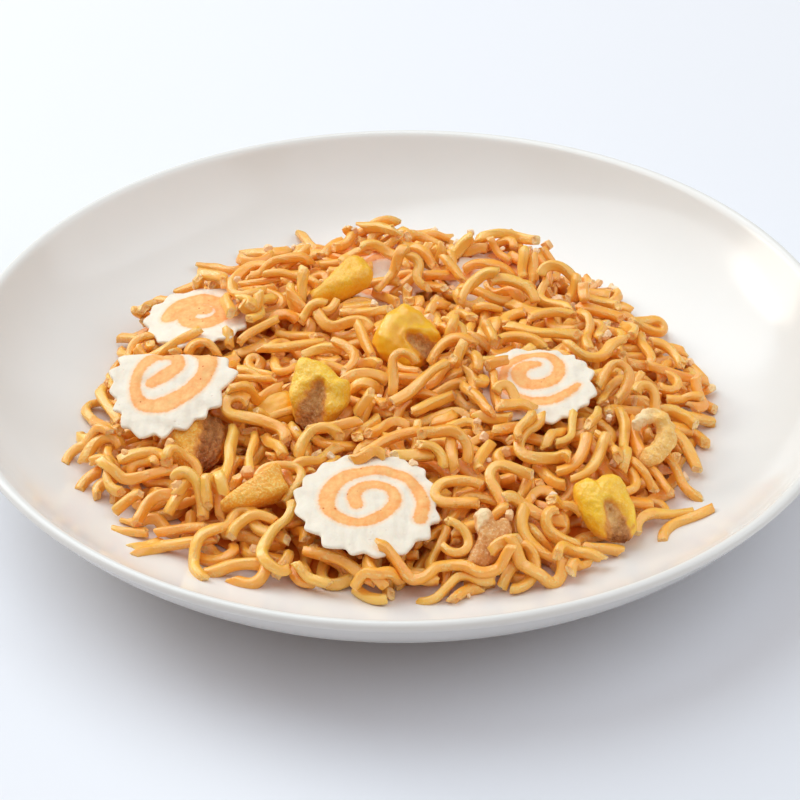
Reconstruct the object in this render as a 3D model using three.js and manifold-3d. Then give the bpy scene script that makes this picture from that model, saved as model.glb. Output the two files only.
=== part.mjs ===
// A shallow white coupe plate with a loose mound of crunchy fried noodle bits on it. Curled
// slices of dried fish cake, fried giant corn kernels, a chip of toasted kernel and a puffed
// noodle crescent lie in and on the mound. Millimetres, +Z up, origin on the table under the
// plate's centre.
import * as THREE from "three";
import { mergeVertices } from "three/addons/utils/BufferGeometryUtils.js";
import Module from "manifold-3d";

const wasm = await Module();
wasm.setup();

// ---- driving dimensions ----
const rimRadius = 105;
const plateHeight = 30;
const floorHeight = 8.2; // top of the eating surface at the centre
const undersideHeight = 4.2; // bottom of the plate inside the foot ring
const footRadius = 60;
const footWidth = 6;
const moundRadius = 76;
const moundShift = -1.6; // the mound lies this far off the plate's centre, along X
const moundHeight = 18.2; // above the plate's floor, at the centre
const moundEdge = 2.4; // thickness of the mound at its outline, about one noodle
const moundFall = 3.2; // how late the dome drops: 1 is a cone, 8 a flat table
const clearance = 0.3; // gap between touching pieces

const colours = { glaze: 0xf1f0ec, noodle: 0xd9964a, fishCake: 0xf6efe2, corn: 0xe3ab35, toasted: 0xb9783a };

// ---- plate ----
const outerWall = new THREE.CubicBezierCurve(
  new THREE.Vector2(footRadius, 3.6),
  new THREE.Vector2(89.3, 7.6),
  new THREE.Vector2(98.6, 19.9),
  new THREE.Vector2(rimRadius, plateHeight - 1.4),
);
const innerWall = new THREE.CubicBezierCurve(
  new THREE.Vector2(rimRadius - 2.8, plateHeight - 0.7),
  new THREE.Vector2(95.0, 19.8),
  new THREE.Vector2(86.0, 9.6),
  new THREE.Vector2(50, floorHeight + 0.2),
);
const lip = new THREE.CubicBezierCurve(
  outerWall.v3,
  new THREE.Vector2(rimRadius, plateHeight + 0.1),
  new THREE.Vector2(rimRadius - 1.5, plateHeight + 0.7),
  innerWall.v0,
);

// Height of the eating surface at a distance from the centre.
const innerPoints = innerWall.getPoints(60);
function eatingSurface(radius) {
  const last = innerPoints.length - 1;
  if (radius <= innerPoints[last].x) {
    return THREE.MathUtils.lerp(floorHeight, innerPoints[last].y, radius / innerPoints[last].x);
  }
  const next = innerPoints.findIndex((point) => point.x <= radius);
  const [outer, inner] = [innerPoints[Math.max(next - 1, 0)], innerPoints[Math.max(next, 1)]];
  return THREE.MathUtils.mapLinear(radius, inner.x, outer.x, inner.y, outer.y);
}

function plateGeometry() {
  const foot = [
    [0, undersideHeight],
    [footRadius - footWidth - 1.6, undersideHeight],
    [footRadius - footWidth + 0.2, 0],
    [footRadius - 1.8, 0],
  ].map(([x, y]) => new THREE.Vector2(x, y));
  const profile = [
    ...foot,
    ...outerWall.getPoints(7),
    ...lip.getPoints(4).slice(1),
    ...innerWall.getPoints(8).slice(1),
    new THREE.Vector2(0, floorHeight),
  ];
  return new THREE.LatheGeometry(profile, 56).rotateX(Math.PI / 2);
}

// ---- shared shaping ----
// Moves every vertex of a geometry to where place(vertex) says.
function reshape(geometry, place) {
  const position = geometry.getAttribute("position");
  const vertex = new THREE.Vector3();
  for (let i = 0; i < position.count; i++) {
    place(vertex.fromBufferAttribute(position, i));
    position.setXYZ(i, vertex.x, vertex.y, vertex.z);
  }
  return geometry;
}

// A flat round drum, its rings at the given shares of radius 1, with z = 1 on top and -1 below.
function drum(shares, segments) {
  const profile = [
    ...shares.map((share) => new THREE.Vector2(share, -1)),
    ...shares.toReversed().map((share) => new THREE.Vector2(share, 1)),
  ];
  return new THREE.LatheGeometry(profile, segments).rotateX(Math.PI / 2);
}

// ---- mound of noodle bits ----
function moundOutline(angle) {
  const lobes = 1.3 * Math.cos(4 * angle - 1.45) - 1.5 * Math.sin(3 * angle - 0.45);
  const scallops = 0.9 * Math.sin(9 * angle + 0.4) + 0.8 * Math.sin(17 * angle);
  return moundRadius + moundShift * Math.cos(angle) + lobes + scallops;
}

// How deep the noodles lie below the dome round each piece that rests on them: every resting
// piece has a shallow hollow at its near side, deepest at reach / 2 from its middle.
function hollowDepth(x, y) {
  const depths = kernels.map(({ at, length, hollowed = 2 }) => {
    const apart = Math.hypot(x - at[0], y - at[1] + length / 2);
    return hollowed * Math.exp(-((apart / (length / 2)) ** 2));
  });
  return Math.max(...depths);
}

// Height of the mound's top at a share of its outline's radius: a low dome with uneven humps.
function moundTop(share, angle, x, y) {
  const edge = eatingSurface(moundOutline(angle)) + moundEdge;
  const crest = floorHeight + moundHeight + 0.012 * y;
  const humps = Math.sin(0.19 * x + 0.6) * Math.cos(0.17 * y - 0.4) + 0.6 * Math.sin(0.31 * (x - y));
  const settled = 0.7 * humps - hollowDepth(x, y);
  return crest - (crest - edge) * share ** moundFall + settled * (1 - share ** 4);
}

function moundGeometry() {
  const shares = [0, 0.24, 0.46, 0.64, 0.78, 0.9, 1];
  return reshape(drum(shares, 48), (vertex) => {
    const share = Math.hypot(vertex.x, vertex.y);
    const angle = Math.atan2(vertex.y, vertex.x);
    const radius = share * moundOutline(angle);
    const [x, y] = [radius * Math.cos(angle), radius * Math.sin(angle)];
    const z = vertex.z > 0 ? moundTop(share, angle, x, y) : eatingSurface(radius) + clearance;
    vertex.set(x, y, z);
  });
}

// ---- slice of dried fish cake ----
// A disc with a pointed, toothed edge, drawn out to three blunt corners by its corner share.
// Past foldFrom it bends down on its far side (+Y) round a cylinder of radius foldRadius, and
// a wave lifts and lowers its edge.
const sliceTeeth = 17;
const toothDepth = 1.7;
function sliceGeometry(spec, swell = 0) {
  const { radius, thickness, corner, foldFrom, foldRadius, wave, phase } = spec;
  const rings = foldRadius < 30 ? [0, 0.45, 0.75, 1] : [0, 0.6, 1];
  return reshape(drum(rings, sliceTeeth * 2), (vertex) => {
    const angle = Math.atan2(vertex.y, vertex.x);
    const share = Math.hypot(vertex.x, vertex.y);
    const tooth = Math.cos(sliceTeeth * (angle - Math.PI / 2)) - 1;
    const oval = 1 + 0.02 * Math.sin(2 * angle + phase) + corner * Math.cos(3 * angle - 0.25);
    const edge = share > 0.99 ? radius * oval + (toothDepth / 2) * tooth + swell : radius * share * 0.9;
    const [x, y] = [edge * Math.cos(angle), edge * Math.sin(angle)];
    const lift = vertex.z * (thickness / 2 + swell) + wave * share ** 2 * Math.sin(2 * angle + phase);
    const bend = Math.max(0, y - foldFrom) / foldRadius;
    const flat = Math.min(y, foldFrom);
    const arm = foldRadius + lift;
    vertex.set(x, flat + arm * Math.sin(bend), arm * Math.cos(bend) - foldRadius);
  });
}

// ---- fried giant corn kernel ----
// Crown towards +Y, tip towards -Y, and the germ's hollow in the +Z face.
function kernelGeometry({ length, width, thickness, hollow }, swell = 0) {
  const [halfLength, halfWidth, halfThick] = [length, width, thickness].map((size) => size / 2 + swell);
  const squared = (value) => Math.sign(value) * Math.abs(value) ** 0.86;
  return reshape(new THREE.SphereGeometry(1, 14, 8).rotateX(Math.PI / 2), (vertex) => {
    const [x, y, z] = [squared(vertex.x), squared(vertex.y), squared(vertex.z)];
    const taper = 0.42 + 0.58 * THREE.MathUtils.smoothstep(y, -1.05, 0.35);
    const slim = 0.6 + 0.4 * THREE.MathUtils.smoothstep(y, -1, 0.2);
    const notch = y > 0 ? 0.12 * y * Math.exp(-((x / 0.35) ** 2)) : 0;
    const germ = Math.exp(-((x / 0.42) ** 2) - ((y + 0.3) / 0.6) ** 2);
    const sunk = z > 0 ? hollow * germ : 0;
    vertex.set(x * taper * halfWidth, (y - notch) * halfLength, (z * slim - sunk) * halfThick);
  });
}

// ---- puffed noodle crescent ----
// A tapered sausage bent along an arc in its own XY plane.
function crescentGeometry({ length, width, thickness, bend }, swell = 0) {
  return reshape(new THREE.SphereGeometry(1, 8, 12).rotateZ(-Math.PI / 2), (vertex) => {
    const full = (1 - vertex.x ** 2) ** -0.2;
    const plump = Number.isFinite(full) ? full : 1;
    const along = (vertex.x * (length / 2 + swell)) / bend;
    const across = bend + vertex.y * plump * (width / 2 + swell);
    const height = vertex.z * plump * (thickness / 2 + swell);
    vertex.set(across * Math.sin(along), across * Math.cos(along) - bend, height);
  });
}

// ---- placing ----
// The turn that points a piece's +Z along facing and its +Y as near as can be to heading.
function turned(facing, heading) {
  const up = new THREE.Vector3(...facing).normalize();
  const ahead = new THREE.Vector3(...heading).projectOnPlane(up).normalize();
  const side = new THREE.Vector3().crossVectors(ahead, up);
  return new THREE.Quaternion().setFromRotationMatrix(new THREE.Matrix4().makeBasis(side, ahead, up));
}

const away = [0, 1, 0];
const slices = [
  { name: "slice_front", at: [-8.4, -52.8, 22.3], facing: [0.05, -0.14, 1], heading: away, radius: 16.6,
    thickness: 2.4, corner: 0, foldFrom: 9.7, foldRadius: 40, wave: 0.4, phase: 0.3 },
  { name: "slice_left", at: [-55, -14.8, 27.9], facing: [-0.08, -0.26, 0.96], heading: [0.1, 1, 0],
    radius: 15.4, thickness: 2.3, corner: 0.07, foldFrom: 6.5, foldRadius: 6, wave: 0.3, phase: 1.7 },
  { name: "slice_right", at: [31.2, -10.9, 25.8], facing: [-0.02, -0.1, 1], heading: away, radius: 14.6,
    thickness: 2.2, corner: 0, foldFrom: 6, foldRadius: 22, wave: 0.5, phase: 3.1 },
  { name: "slice_back_left", at: [-49.8, 21.8, 22.4], facing: [-0.1, 0.02, 1], heading: [-0.2, 1, 0],
    radius: 14, thickness: 2.2, corner: 0, foldFrom: 6, foldRadius: 40, wave: 0.5, phase: 4.4 },
  { name: "slice_back", at: [-4.9, 45.4, 21.1], facing: [0.02, -0.2, 0.98], heading: away, radius: 12,
    thickness: 2.2, corner: 0, foldFrom: 6, foldRadius: 40, wave: 0.3, phase: 5.2 },
  { name: "slice_back_right", at: [22.7, 45.4, 19.8], facing: [0.05, -0.15, 0.98], heading: away, radius: 12,
    thickness: 2.2, corner: 0, foldFrom: 6, foldRadius: 40, wave: 0.3, phase: 0.9 },
];

const kernels = [
  { name: "kernel_centre", at: [1.9, 6.2, 27.6], facing: [0.32, -0.42, 0.86], heading: [-0.78, 0.45, 0.45],
    length: 19, width: 17.4, thickness: 10, hollow: 0.42, hollowed: 3.8 },
  { name: "kernel_upright", at: [-19.4, -15.2, 27.2], facing: [-0.1, -0.56, 0.82], heading: [0.14, 0.6, 0.75],
    length: 18.4, width: 15.6, thickness: 8.6, hollow: 0.55, hollowed: 3.4 },
  { name: "kernel_edgeways", at: [-15.3, 33.1, 27], facing: [-0.5, 0.32, 0.8], heading: [0.8, 0.4, 0.44],
    length: 20, width: 12, thickness: 7.6, hollow: 0.4, hollowed: 2.2 },
  { name: "kernel_left", at: [-46.6, -26, 19], facing: [0.24, -0.42, 0.88], heading: [-0.6, 0.5, 0],
    length: 16.8, width: 14.6, thickness: 7.6, hollow: 0.5, hollowed: 7 },
  { name: "kernel_wedge", at: [-33.2, -46.8, 22.2], facing: [-0.2, 0.34, 0.92], heading: [0.93, 0.28, 0.24],
    length: 17, width: 10.5, thickness: 7.4, hollow: 0.3, hollowed: 2.4 },
  { name: "kernel_right", at: [45.3, -50.2, 18.8], facing: [0.06, -0.56, 0.83], heading: [-0.34, 0.62, 0.72],
    length: 16.6, width: 15.2, thickness: 8, hollow: 0.5, hollowed: 1.2 },
  { name: "kernel_buried", at: [-31.6, -13.8, 21.8], facing: [-0.1, -0.4, 0.92], heading: [1, 0.2, 0.1],
    length: 13, width: 10.5, thickness: 7, hollow: 0.4, hollowed: 4 },
  { name: "toasted_chip", at: [16.6, -60.8, 19.4], facing: [0.34, -0.6, 0.72], heading: [0.62, 0.5, 0.6],
    length: 13.4, width: 8.6, thickness: 4.4, hollow: 0.2, hollowed: 1 },
];

const crescents = [
  { name: "puffed_crescent", at: [60, -28.6, 20.6], facing: [-0.1, -0.5, 0.86], heading: [0.8, -0.5, -0.3],
    length: 16, width: 3.9, thickness: 3.6, bend: 7.6 },
];

function pieceMesh(spec, shape, colour) {
  const material = new THREE.MeshStandardMaterial({ color: colour, roughness: 0.7, metalness: 0 });
  const mesh = new THREE.Mesh(shape(spec), material);
  mesh.name = spec.name;
  mesh.position.set(...spec.at);
  mesh.quaternion.copy(turned(spec.facing, spec.heading));
  mesh.userData.swollen = shape(spec, clearance);
  return mesh;
}

// ---- cutting the mound round the pieces that lie in it ----
function asSolid(geometry, matrix = new THREE.Matrix4()) {
  const bare = geometry.clone().applyMatrix4(matrix);
  bare.deleteAttribute("normal");
  bare.deleteAttribute("uv");
  const merged = mergeVertices(bare, 1e-3);
  const { array: vertProperties } = merged.getAttribute("position");
  const triVerts = new Uint32Array(merged.index.array);
  return new wasm.Manifold(new wasm.Mesh({ numProp: 3, vertProperties, triVerts }));
}

function asGeometry(solid) {
  const { vertProperties, triVerts } = solid.getMesh();
  const geometry = new THREE.BufferGeometry();
  geometry.setAttribute("position", new THREE.BufferAttribute(vertProperties, 3));
  geometry.setIndex(new THREE.BufferAttribute(triVerts, 1));
  geometry.computeVertexNormals();
  return geometry;
}

// What is left of the mound once room is cut for every piece: its largest body.
function cutMound(pieces) {
  let mound = asSolid(moundGeometry());
  for (const piece of pieces) {
    piece.updateMatrix();
    mound = mound.subtract(asSolid(piece.userData.swollen, piece.matrix));
  }
  const bodies = mound.decompose().sort((a, b) => b.volume() - a.volume());
  return asGeometry(bodies[0]);
}

// ---- assembly ----
const toppings = [
  ...slices.map((spec) => pieceMesh(spec, sliceGeometry, colours.fishCake)),
  ...kernels.map((spec) => pieceMesh(spec, kernelGeometry, colours.corn)),
  ...crescents.map((spec) => pieceMesh(spec, crescentGeometry, colours.noodle)),
];
toppings.find((piece) => piece.name === "toasted_chip").material.color.set(colours.toasted);

const glaze = new THREE.MeshStandardMaterial({ color: colours.glaze, roughness: 0.12, metalness: 0 });
const plate = new THREE.Mesh(plateGeometry(), glaze);
plate.name = "plate";

const fried = new THREE.MeshStandardMaterial({ color: colours.noodle, roughness: 0.5, metalness: 0 });
const mound = new THREE.Mesh(cutMound(toppings), fried);
mound.name = "noodle_mound";

const snackPlate = new THREE.Group();
snackPlate.add(plate, mound, ...toppings);

export default snackPlate;
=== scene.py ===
import bpy
import numpy as np
from mathutils import Matrix, Vector
from mathutils.bvhtree import BVHTree


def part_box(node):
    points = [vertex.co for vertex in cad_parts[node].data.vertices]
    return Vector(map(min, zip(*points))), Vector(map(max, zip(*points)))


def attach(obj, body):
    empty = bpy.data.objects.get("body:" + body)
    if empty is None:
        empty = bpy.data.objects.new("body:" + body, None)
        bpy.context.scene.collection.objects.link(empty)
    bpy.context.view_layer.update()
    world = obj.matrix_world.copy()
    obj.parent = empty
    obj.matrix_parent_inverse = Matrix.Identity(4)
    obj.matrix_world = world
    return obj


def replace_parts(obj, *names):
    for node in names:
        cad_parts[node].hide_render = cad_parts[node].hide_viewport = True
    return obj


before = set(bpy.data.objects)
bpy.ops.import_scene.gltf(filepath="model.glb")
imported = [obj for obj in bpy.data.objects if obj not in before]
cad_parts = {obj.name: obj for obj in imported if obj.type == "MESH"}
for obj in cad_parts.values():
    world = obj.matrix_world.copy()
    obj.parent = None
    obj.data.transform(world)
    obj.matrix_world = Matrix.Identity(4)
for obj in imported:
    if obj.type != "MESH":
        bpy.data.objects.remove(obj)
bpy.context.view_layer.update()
mm = 0.001  # shapes are worked out in millimetres and written into the meshes in metres
fullTurn = 2 * np.pi


# ---- camera, light and floor ----
# In mm and degrees; the nearest that is seen is in metres.
view = {"distance": 668.4, "elevation": 34.59, "roll": -0.47, "lens": 130.5,
        "aim": (-0.72, -22.52, 30), "nearest": 0.01}


# Looks along +Y and down by the elevation, a little rolled about its own axis.
def makeCamera():
    down = np.radians(view["elevation"])
    roll = np.radians(view["roll"])
    forward = Vector((0, np.cos(down), -np.sin(down)))
    level = Vector((1, 0, 0))
    upright = level.cross(forward)
    right = level * np.cos(roll) + upright * np.sin(roll)
    up = upright * np.cos(roll) - level * np.sin(roll)
    turn = Matrix((right, up, -forward)).transposed().to_4x4()
    camera = bpy.data.objects.new("camera", bpy.data.cameras.new("camera"))
    camera.data.lens = view["lens"]
    camera.data.clip_start = view["nearest"]
    place = Vector(view["aim"]) - forward * view["distance"]
    camera.matrix_world = Matrix.Translation(place * mm) @ turn
    bpy.context.collection.objects.link(camera)
    bpy.context.scene.camera = camera


studio = {"sky": 0.31, "skyTint": (1.0, 0.76, 0.56), "floorTint": (0.818, 0.834, 0.89), "floorReach": 6,
          "bounces": 6}
# name: azimuth and elevation in degrees, distance and size in metres, power in watts, tint
lamps = {
    "lowWindow": (146, 24, 1.25, 0.55, 3.8, (1.0, 0.95, 0.84)),
    "highWindow": (140, 55, 1.3, 1.5, 13.3, (0.86, 0.99, 1.07)),
    "rightFill": (0, 42, 1.35, 1.3, 5.6, (0.86, 1.0, 1.1)),
    "frontFill": (-90, 62, 1.4, 1.3, 3.7, (0.86, 0.98, 1.12)),
}


# Every lamp is a disc that looks at the plate from its place on a dome.
def lightStudio():
    for name, (azimuth, elevation, distance, size, power, colour) in lamps.items():
        turn, climb = np.radians(azimuth), np.radians(elevation)
        place = Vector((np.cos(climb) * np.cos(turn), np.cos(climb) * np.sin(turn), np.sin(climb)))
        light = bpy.data.lights.new(name, "AREA")
        light.shape = "DISK"
        light.size = size
        light.energy = power
        light.color = colour
        lamp = bpy.data.objects.new(name, light)
        lamp.location = place * distance
        lamp.rotation_euler = (-place).to_track_quat("-Z", "Y").to_euler()
        bpy.context.collection.objects.link(lamp)
    world = bpy.data.worlds.new("world")
    world.use_nodes = True
    background = world.node_tree.nodes["Background"]
    background.inputs["Color"].default_value = (*studio["skyTint"], 1)
    background.inputs["Strength"].default_value = studio["sky"]
    bpy.context.scene.world = world
    bpy.context.scene.view_settings.view_transform = "Standard"
    bpy.context.scene.cycles.diffuse_bounces = studio["bounces"]


# ---- material building ----
# An sRGB colour, 0 to 255, as the linear colour that the shaders work in.
def tint(red, green, blue):
    share = np.array([red, green, blue]) / 255
    linear = np.where(share < 0.04045, share / 12.92, ((share + 0.055) / 1.055) ** 2.4)
    return (*linear.tolist(), 1.0)


def feed(tree, socket, value):
    if isinstance(value, bpy.types.NodeSocket):
        tree.links.new(value, socket)
    else:
        socket.default_value = value


def add(tree, kind, inputs=None, **settings):
    made = tree.nodes.new("ShaderNode" + kind)
    for key, value in settings.items():
        setattr(made, key, value)
    for key, value in (inputs or {}).items():
        feed(tree, made.inputs[key], value)
    return made


def maths(tree, operation, first, second):
    return add(tree, "Math", {0: first, 1: second}, operation=operation).outputs[0]


def plus(tree, first, second):
    return maths(tree, "ADD", first, second)


def minus(tree, first, second):
    return maths(tree, "SUBTRACT", first, second)


def times(tree, first, second):
    return maths(tree, "MULTIPLY", first, second)


def blended(tree, share, first, second):
    inputs = {0: share, 6: first, 7: second}
    return add(tree, "Mix", inputs, data_type="RGBA").outputs[2]


def ranged(tree, value, low, high, toLow=0.0, toHigh=1.0):
    inputs = {"Value": value, "From Min": low, "From Max": high, "To Min": toLow, "To Max": toHigh}
    return add(tree, "MapRange", inputs, interpolation_type="SMOOTHSTEP").outputs["Result"]


def attribute(tree, name, output="Fac"):
    return add(tree, "Attribute", attribute_name=name).outputs[output]


# A new material, its tree and shader, and the place on the object that its patterns follow.
def startMaterial(name):
    made = bpy.data.materials.new(name)
    made.use_nodes = True
    tree = made.node_tree
    tree.nodes.clear()
    shader = add(tree, "BsdfPrincipled")
    add(tree, "OutputMaterial", {"Surface": shader.outputs["BSDF"]})
    return made, tree, shader, add(tree, "TexCoord").outputs["Object"]


# A shader group whose inputs are given as name: (socket kind, default) and outputs as name: kind.
def startGroup(name, inputs, outputs):
    group = bpy.data.node_groups.new(name, "ShaderNodeTree")
    for key, (kind, default) in inputs.items():
        socket = group.interface.new_socket(key, in_out="INPUT", socket_type="NodeSocket" + kind)
        if default is not None:
            socket.default_value = default
    for key, kind in outputs.items():
        group.interface.new_socket(key, in_out="OUTPUT", socket_type="NodeSocket" + kind)
    return group, group.nodes.new("NodeGroupInput"), group.nodes.new("NodeGroupOutput")


def useGroup(tree, group, inputs):
    made = tree.nodes.new("ShaderNodeGroup")
    made.node_tree = group
    for key, value in inputs.items():
        feed(tree, made.inputs[key], value)
    return made


# Mottling: soft noise of a given size in mm, stretched until its lights and darks separate.
def makeMottle():
    inputs = {"Vector": ("Vector", None), "Size": ("Float", 3.0), "Contrast": ("Float", 0.5)}
    group, given, result = startGroup("mottle", inputs, {"Value": "Float"})
    scale = maths(group, "DIVIDE", 1 / mm, given.outputs["Size"])
    noise = add(group, "TexNoise", {"Vector": given.outputs["Vector"], "Scale": scale, "Detail": 3.0,
                                    "Roughness": 0.6})
    centred = minus(group, noise.outputs["Fac"], 0.5)
    spread = maths(group, "DIVIDE", centred, minus(group, 1.0, given.outputs["Contrast"]))
    value = add(group, "Math", {0: spread, 1: 0.5}, operation="ADD", use_clamp=True)
    group.links.new(value.outputs[0], result.inputs["Value"])
    return group


# Fried surface: grains of a given size in mm standing up, and here and there a small pit.
def makeFriedSkin():
    inputs = {"Vector": ("Vector", None), "Size": ("Float", 0.6)}
    group, given, result = startGroup("friedSkin", inputs, {"Height": "Float", "Pits": "Float"})
    spot = given.outputs["Vector"]
    scale = maths(group, "DIVIDE", 1 / mm, given.outputs["Size"])
    grainy = {"Vector": spot, "Scale": scale, "Smoothness": 0.6}
    cells = add(group, "TexVoronoi", grainy, feature="SMOOTH_F1")
    noise = add(group, "TexNoise", {"Vector": spot, "Detail": 2.0, "Scale": times(group, scale, 0.35)})
    rare = add(group, "TexVoronoi", {"Vector": spot, "Scale": times(group, scale, 0.3)})
    grains = minus(group, 1.0, cells.outputs["Distance"])
    raised = plus(group, times(group, grains, 0.5), noise.outputs["Fac"])
    pits = ranged(group, rare.outputs["Distance"], 0.13, 0.05)
    group.links.new(minus(group, raised, times(group, pits, 0.8)), result.inputs["Height"])
    group.links.new(pits, result.inputs["Pits"])
    return group


mottle = makeMottle()
friedSkin = makeFriedSkin()


def mottled(tree, spot, size, contrast):
    return useGroup(tree, mottle, {"Vector": spot, "Size": size, "Contrast": contrast}).outputs[0]


def paint(tree, shader, colour, roughness):
    feed(tree, shader.inputs["Base Color"], colour)
    feed(tree, shader.inputs["Roughness"], roughness)


# Bump of a given strength, its height in units of so many mm.
def roughen(tree, shader, height, strength, depth):
    bump = add(tree, "Bump", {"Height": height, "Strength": strength, "Distance": depth * mm})
    feed(tree, shader.inputs["Normal"], bump.outputs["Normal"])


# Lets light into the surface, red, green and blue as far as radius says in units of so many mm.
def soften(shader, weight, radius, depth):
    shader.inputs["Subsurface Weight"].default_value = weight
    shader.inputs["Subsurface Radius"].default_value = radius
    shader.inputs["Subsurface Scale"].default_value = depth * mm


# ---- mesh building ----
# A closed skin from rows of points, (rows, columns, 3), whose first and last rows have shrunk to
# a point: one vertex at either end, rings between, joined by quads and two fans of triangles that
# point outwards.
def closedGrid(grid):
    rows, columns = grid.shape[:2]
    points = gridValues(grid)
    ring = 1 + np.arange((rows - 2) * columns).reshape(rows - 2, columns)
    after = np.roll(ring, -1, axis=1)
    quads = np.stack([ring[:-1], after[:-1], after[1:], ring[1:]], -1).reshape(-1, 4)
    first = np.stack([np.zeros(columns, int), after[0], ring[0]], -1)
    last = np.stack([np.full(columns, len(points) - 1), ring[-1], after[-1]], -1)
    tris = np.concatenate([first, last])
    if signedVolume(points, quads, tris) < 0:
        quads, tris = quads[:, ::-1], tris[:, ::-1]
    return points, quads, tris


# The values that go with a closed grid's points, in the same order.
def gridValues(values):
    return np.concatenate([values[0, :1], values[1:-1].reshape(-1, *values.shape[2:]), values[-1, :1]])


# Volume by the divergence theorem, positive when the faces point outwards.
def signedVolume(points, quads, tris):
    corners = np.concatenate([quads[:, [0, 1, 2]], quads[:, [0, 2, 3]], tris])
    a, b, c = (points[corners[:, i]] for i in range(3))
    return np.einsum("ij,ij->i", a, np.cross(b, c)).sum() / 6


# Many closed grids, each given with the values at its points, as one mesh.
def joined(skins):
    points, quads, tris, offset = [], [], [], 0
    for grid, values in skins:
        one, four, three = closedGrid(grid)
        points.append(one)
        quads.append(four + offset)
        tris.append(three + offset)
        offset += len(one)
    together = {}
    for key in skins[0][1]:
        together[key] = np.concatenate([gridValues(values[key]) for grid, values in skins])
    return np.concatenate(points), np.concatenate(quads), np.concatenate(tris), together


# A piece from closed grids. With flatWhere, the name of a value, the fans at the ends stay flat,
# and so do the quads on which that value is more than 0; all other faces are smooth.
def buildPiece(name, skins, material, flatWhere=None):
    points, quads, tris, values = joined(skins)
    sizes = np.concatenate([np.full(len(quads), 4), np.full(len(tris), 3)])
    corners = np.concatenate([quads.ravel(), tris.ravel()]).astype(np.int32)
    smooth = np.ones(len(sizes), bool)
    if flatWhere:
        smooth = np.concatenate([~(values[flatWhere][quads] > 0).all(1), np.zeros(len(tris), bool)])
    mesh = bpy.data.meshes.new(name)
    mesh.vertices.add(len(points))
    mesh.loops.add(len(corners))
    mesh.polygons.add(len(sizes))
    mesh.vertices.foreach_set("co", (points * mm).astype(np.float32).ravel())
    mesh.loops.foreach_set("vertex_index", corners)
    mesh.polygons.foreach_set("loop_start", (np.cumsum(sizes) - sizes).astype(np.int32))
    mesh.polygons.foreach_set("use_smooth", smooth)
    for key, value in values.items():
        kind, field = ("FLOAT", "value") if value.ndim == 1 else ("FLOAT_VECTOR", "vector")
        mesh.attributes.new(key, kind, "POINT").data.foreach_set(field, value.astype(np.float32).ravel())
    mesh.materials.append(material)
    mesh.update(calc_edges=True)
    mesh.validate()
    piece = bpy.data.objects.new(name, mesh)
    bpy.context.collection.objects.link(piece)
    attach(piece, "root")
    return piece


# A smooth random field of about -1 to 1: sine waves near one wavelength, in random directions.
def ripples(points, wavelength, seed, count=16):
    random = np.random.default_rng(seed)
    ways = unit(random.normal(size=(count, 3)))
    ways *= fullTurn / (wavelength * random.uniform(0.7, 1.5, (count, 1)))
    phases = random.uniform(0, fullTurn, count)
    return np.sin(points @ ways.T + phases).sum(-1) / np.sqrt(count)


def smoothstep(value, low, high):
    share = np.clip((value - low) / (high - low), 0, 1)
    return share * share * (3 - 2 * share)


# Rows of x, y, z made 1 long.
def unit(rows):
    return rows / np.linalg.norm(rows, axis=1, keepdims=True)


# A sine or cosine made blockier: the lower the power, the squarer the curve that it draws.
def blocky(wave, power):
    return np.sign(wave) * np.abs(wave) ** power


# The length of each step of a line, and the distance travelled at each of its points.
def travelled(line):
    step = np.linalg.norm(np.diff(line, axis=0), axis=1)
    return step, np.concatenate([[0], np.cumsum(step)])


# The points of a line at which given distances have been travelled.
def sampled(at, along, line):
    return np.stack([np.interp(at, along, part) for part in line.T], -1)


def bezier(points, count):
    t = np.linspace(0, 1, count)[:, None]
    weights = ((1 - t) ** 3, 3 * (1 - t) ** 2 * t, 3 * (1 - t) * t ** 2, t ** 3)
    return sum(weight * np.array(point, float) for weight, point in zip(weights, points))


# A smooth line through points, by Catmull and Rom's rule, with a few steps to each stretch.
def smoothRoute(points, steps=16):
    points = np.array(points, float)
    ends = np.concatenate([2 * points[:1] - points[1:2], points, 2 * points[-1:] - points[-2:-1]])
    t = np.linspace(0, 1, steps, endpoint=False)[:, None]
    before, start, end, after = (ends[i:len(ends) - 3 + i, None] for i in range(4))
    line = start + t * (end - before) / 2 + t ** 2 * (before - 2.5 * start + 2 * end - after / 2)
    line = line + t ** 3 * (1.5 * (start - end) + (after - before) / 2)
    return np.concatenate([line.reshape(-1, points.shape[1]), points[-1:]])


# ---- floor ----
def floorMaterial():
    made, tree, shader, spot = startMaterial("paleFloor")
    pale = studio["floorTint"]
    shade = [0.99 * share for share in pale]
    patch = mottled(tree, spot, 60.0, 0.1)
    paint(tree, shader, blended(tree, patch, (*pale, 1), (*shade, 1)), 0.6)
    return made


def layFloor():
    bpy.ops.mesh.primitive_circle_add(vertices=64, radius=studio["floorReach"], fill_type="NGON")
    ground = bpy.context.object
    ground.name = "floor"
    ground.data.materials.append(floorMaterial())


makeCamera()
lightStudio()
layFloor()
print("studio: camera, lights and floor")


# ---- plate ----
# In mm: the foot ring's radius and width, the heights of the bowl's underside inside the ring and
# of its floor, how far the floor's flat part reaches, the lip, and how much the rim sways.
highest = np.array(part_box("plate")[1]) / mm
rim = highest[0]
rimHeight = highest[2]
plateShape = {"foot": 60.0, "footWidth": 6.0, "hollow": 4.2, "floor": 8.2, "flat": 50, "lipWidth": 2.8,
              "lipDrop": 0.7, "lipRound": 1.4, "sway": 0.12, "columns": 180}


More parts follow.
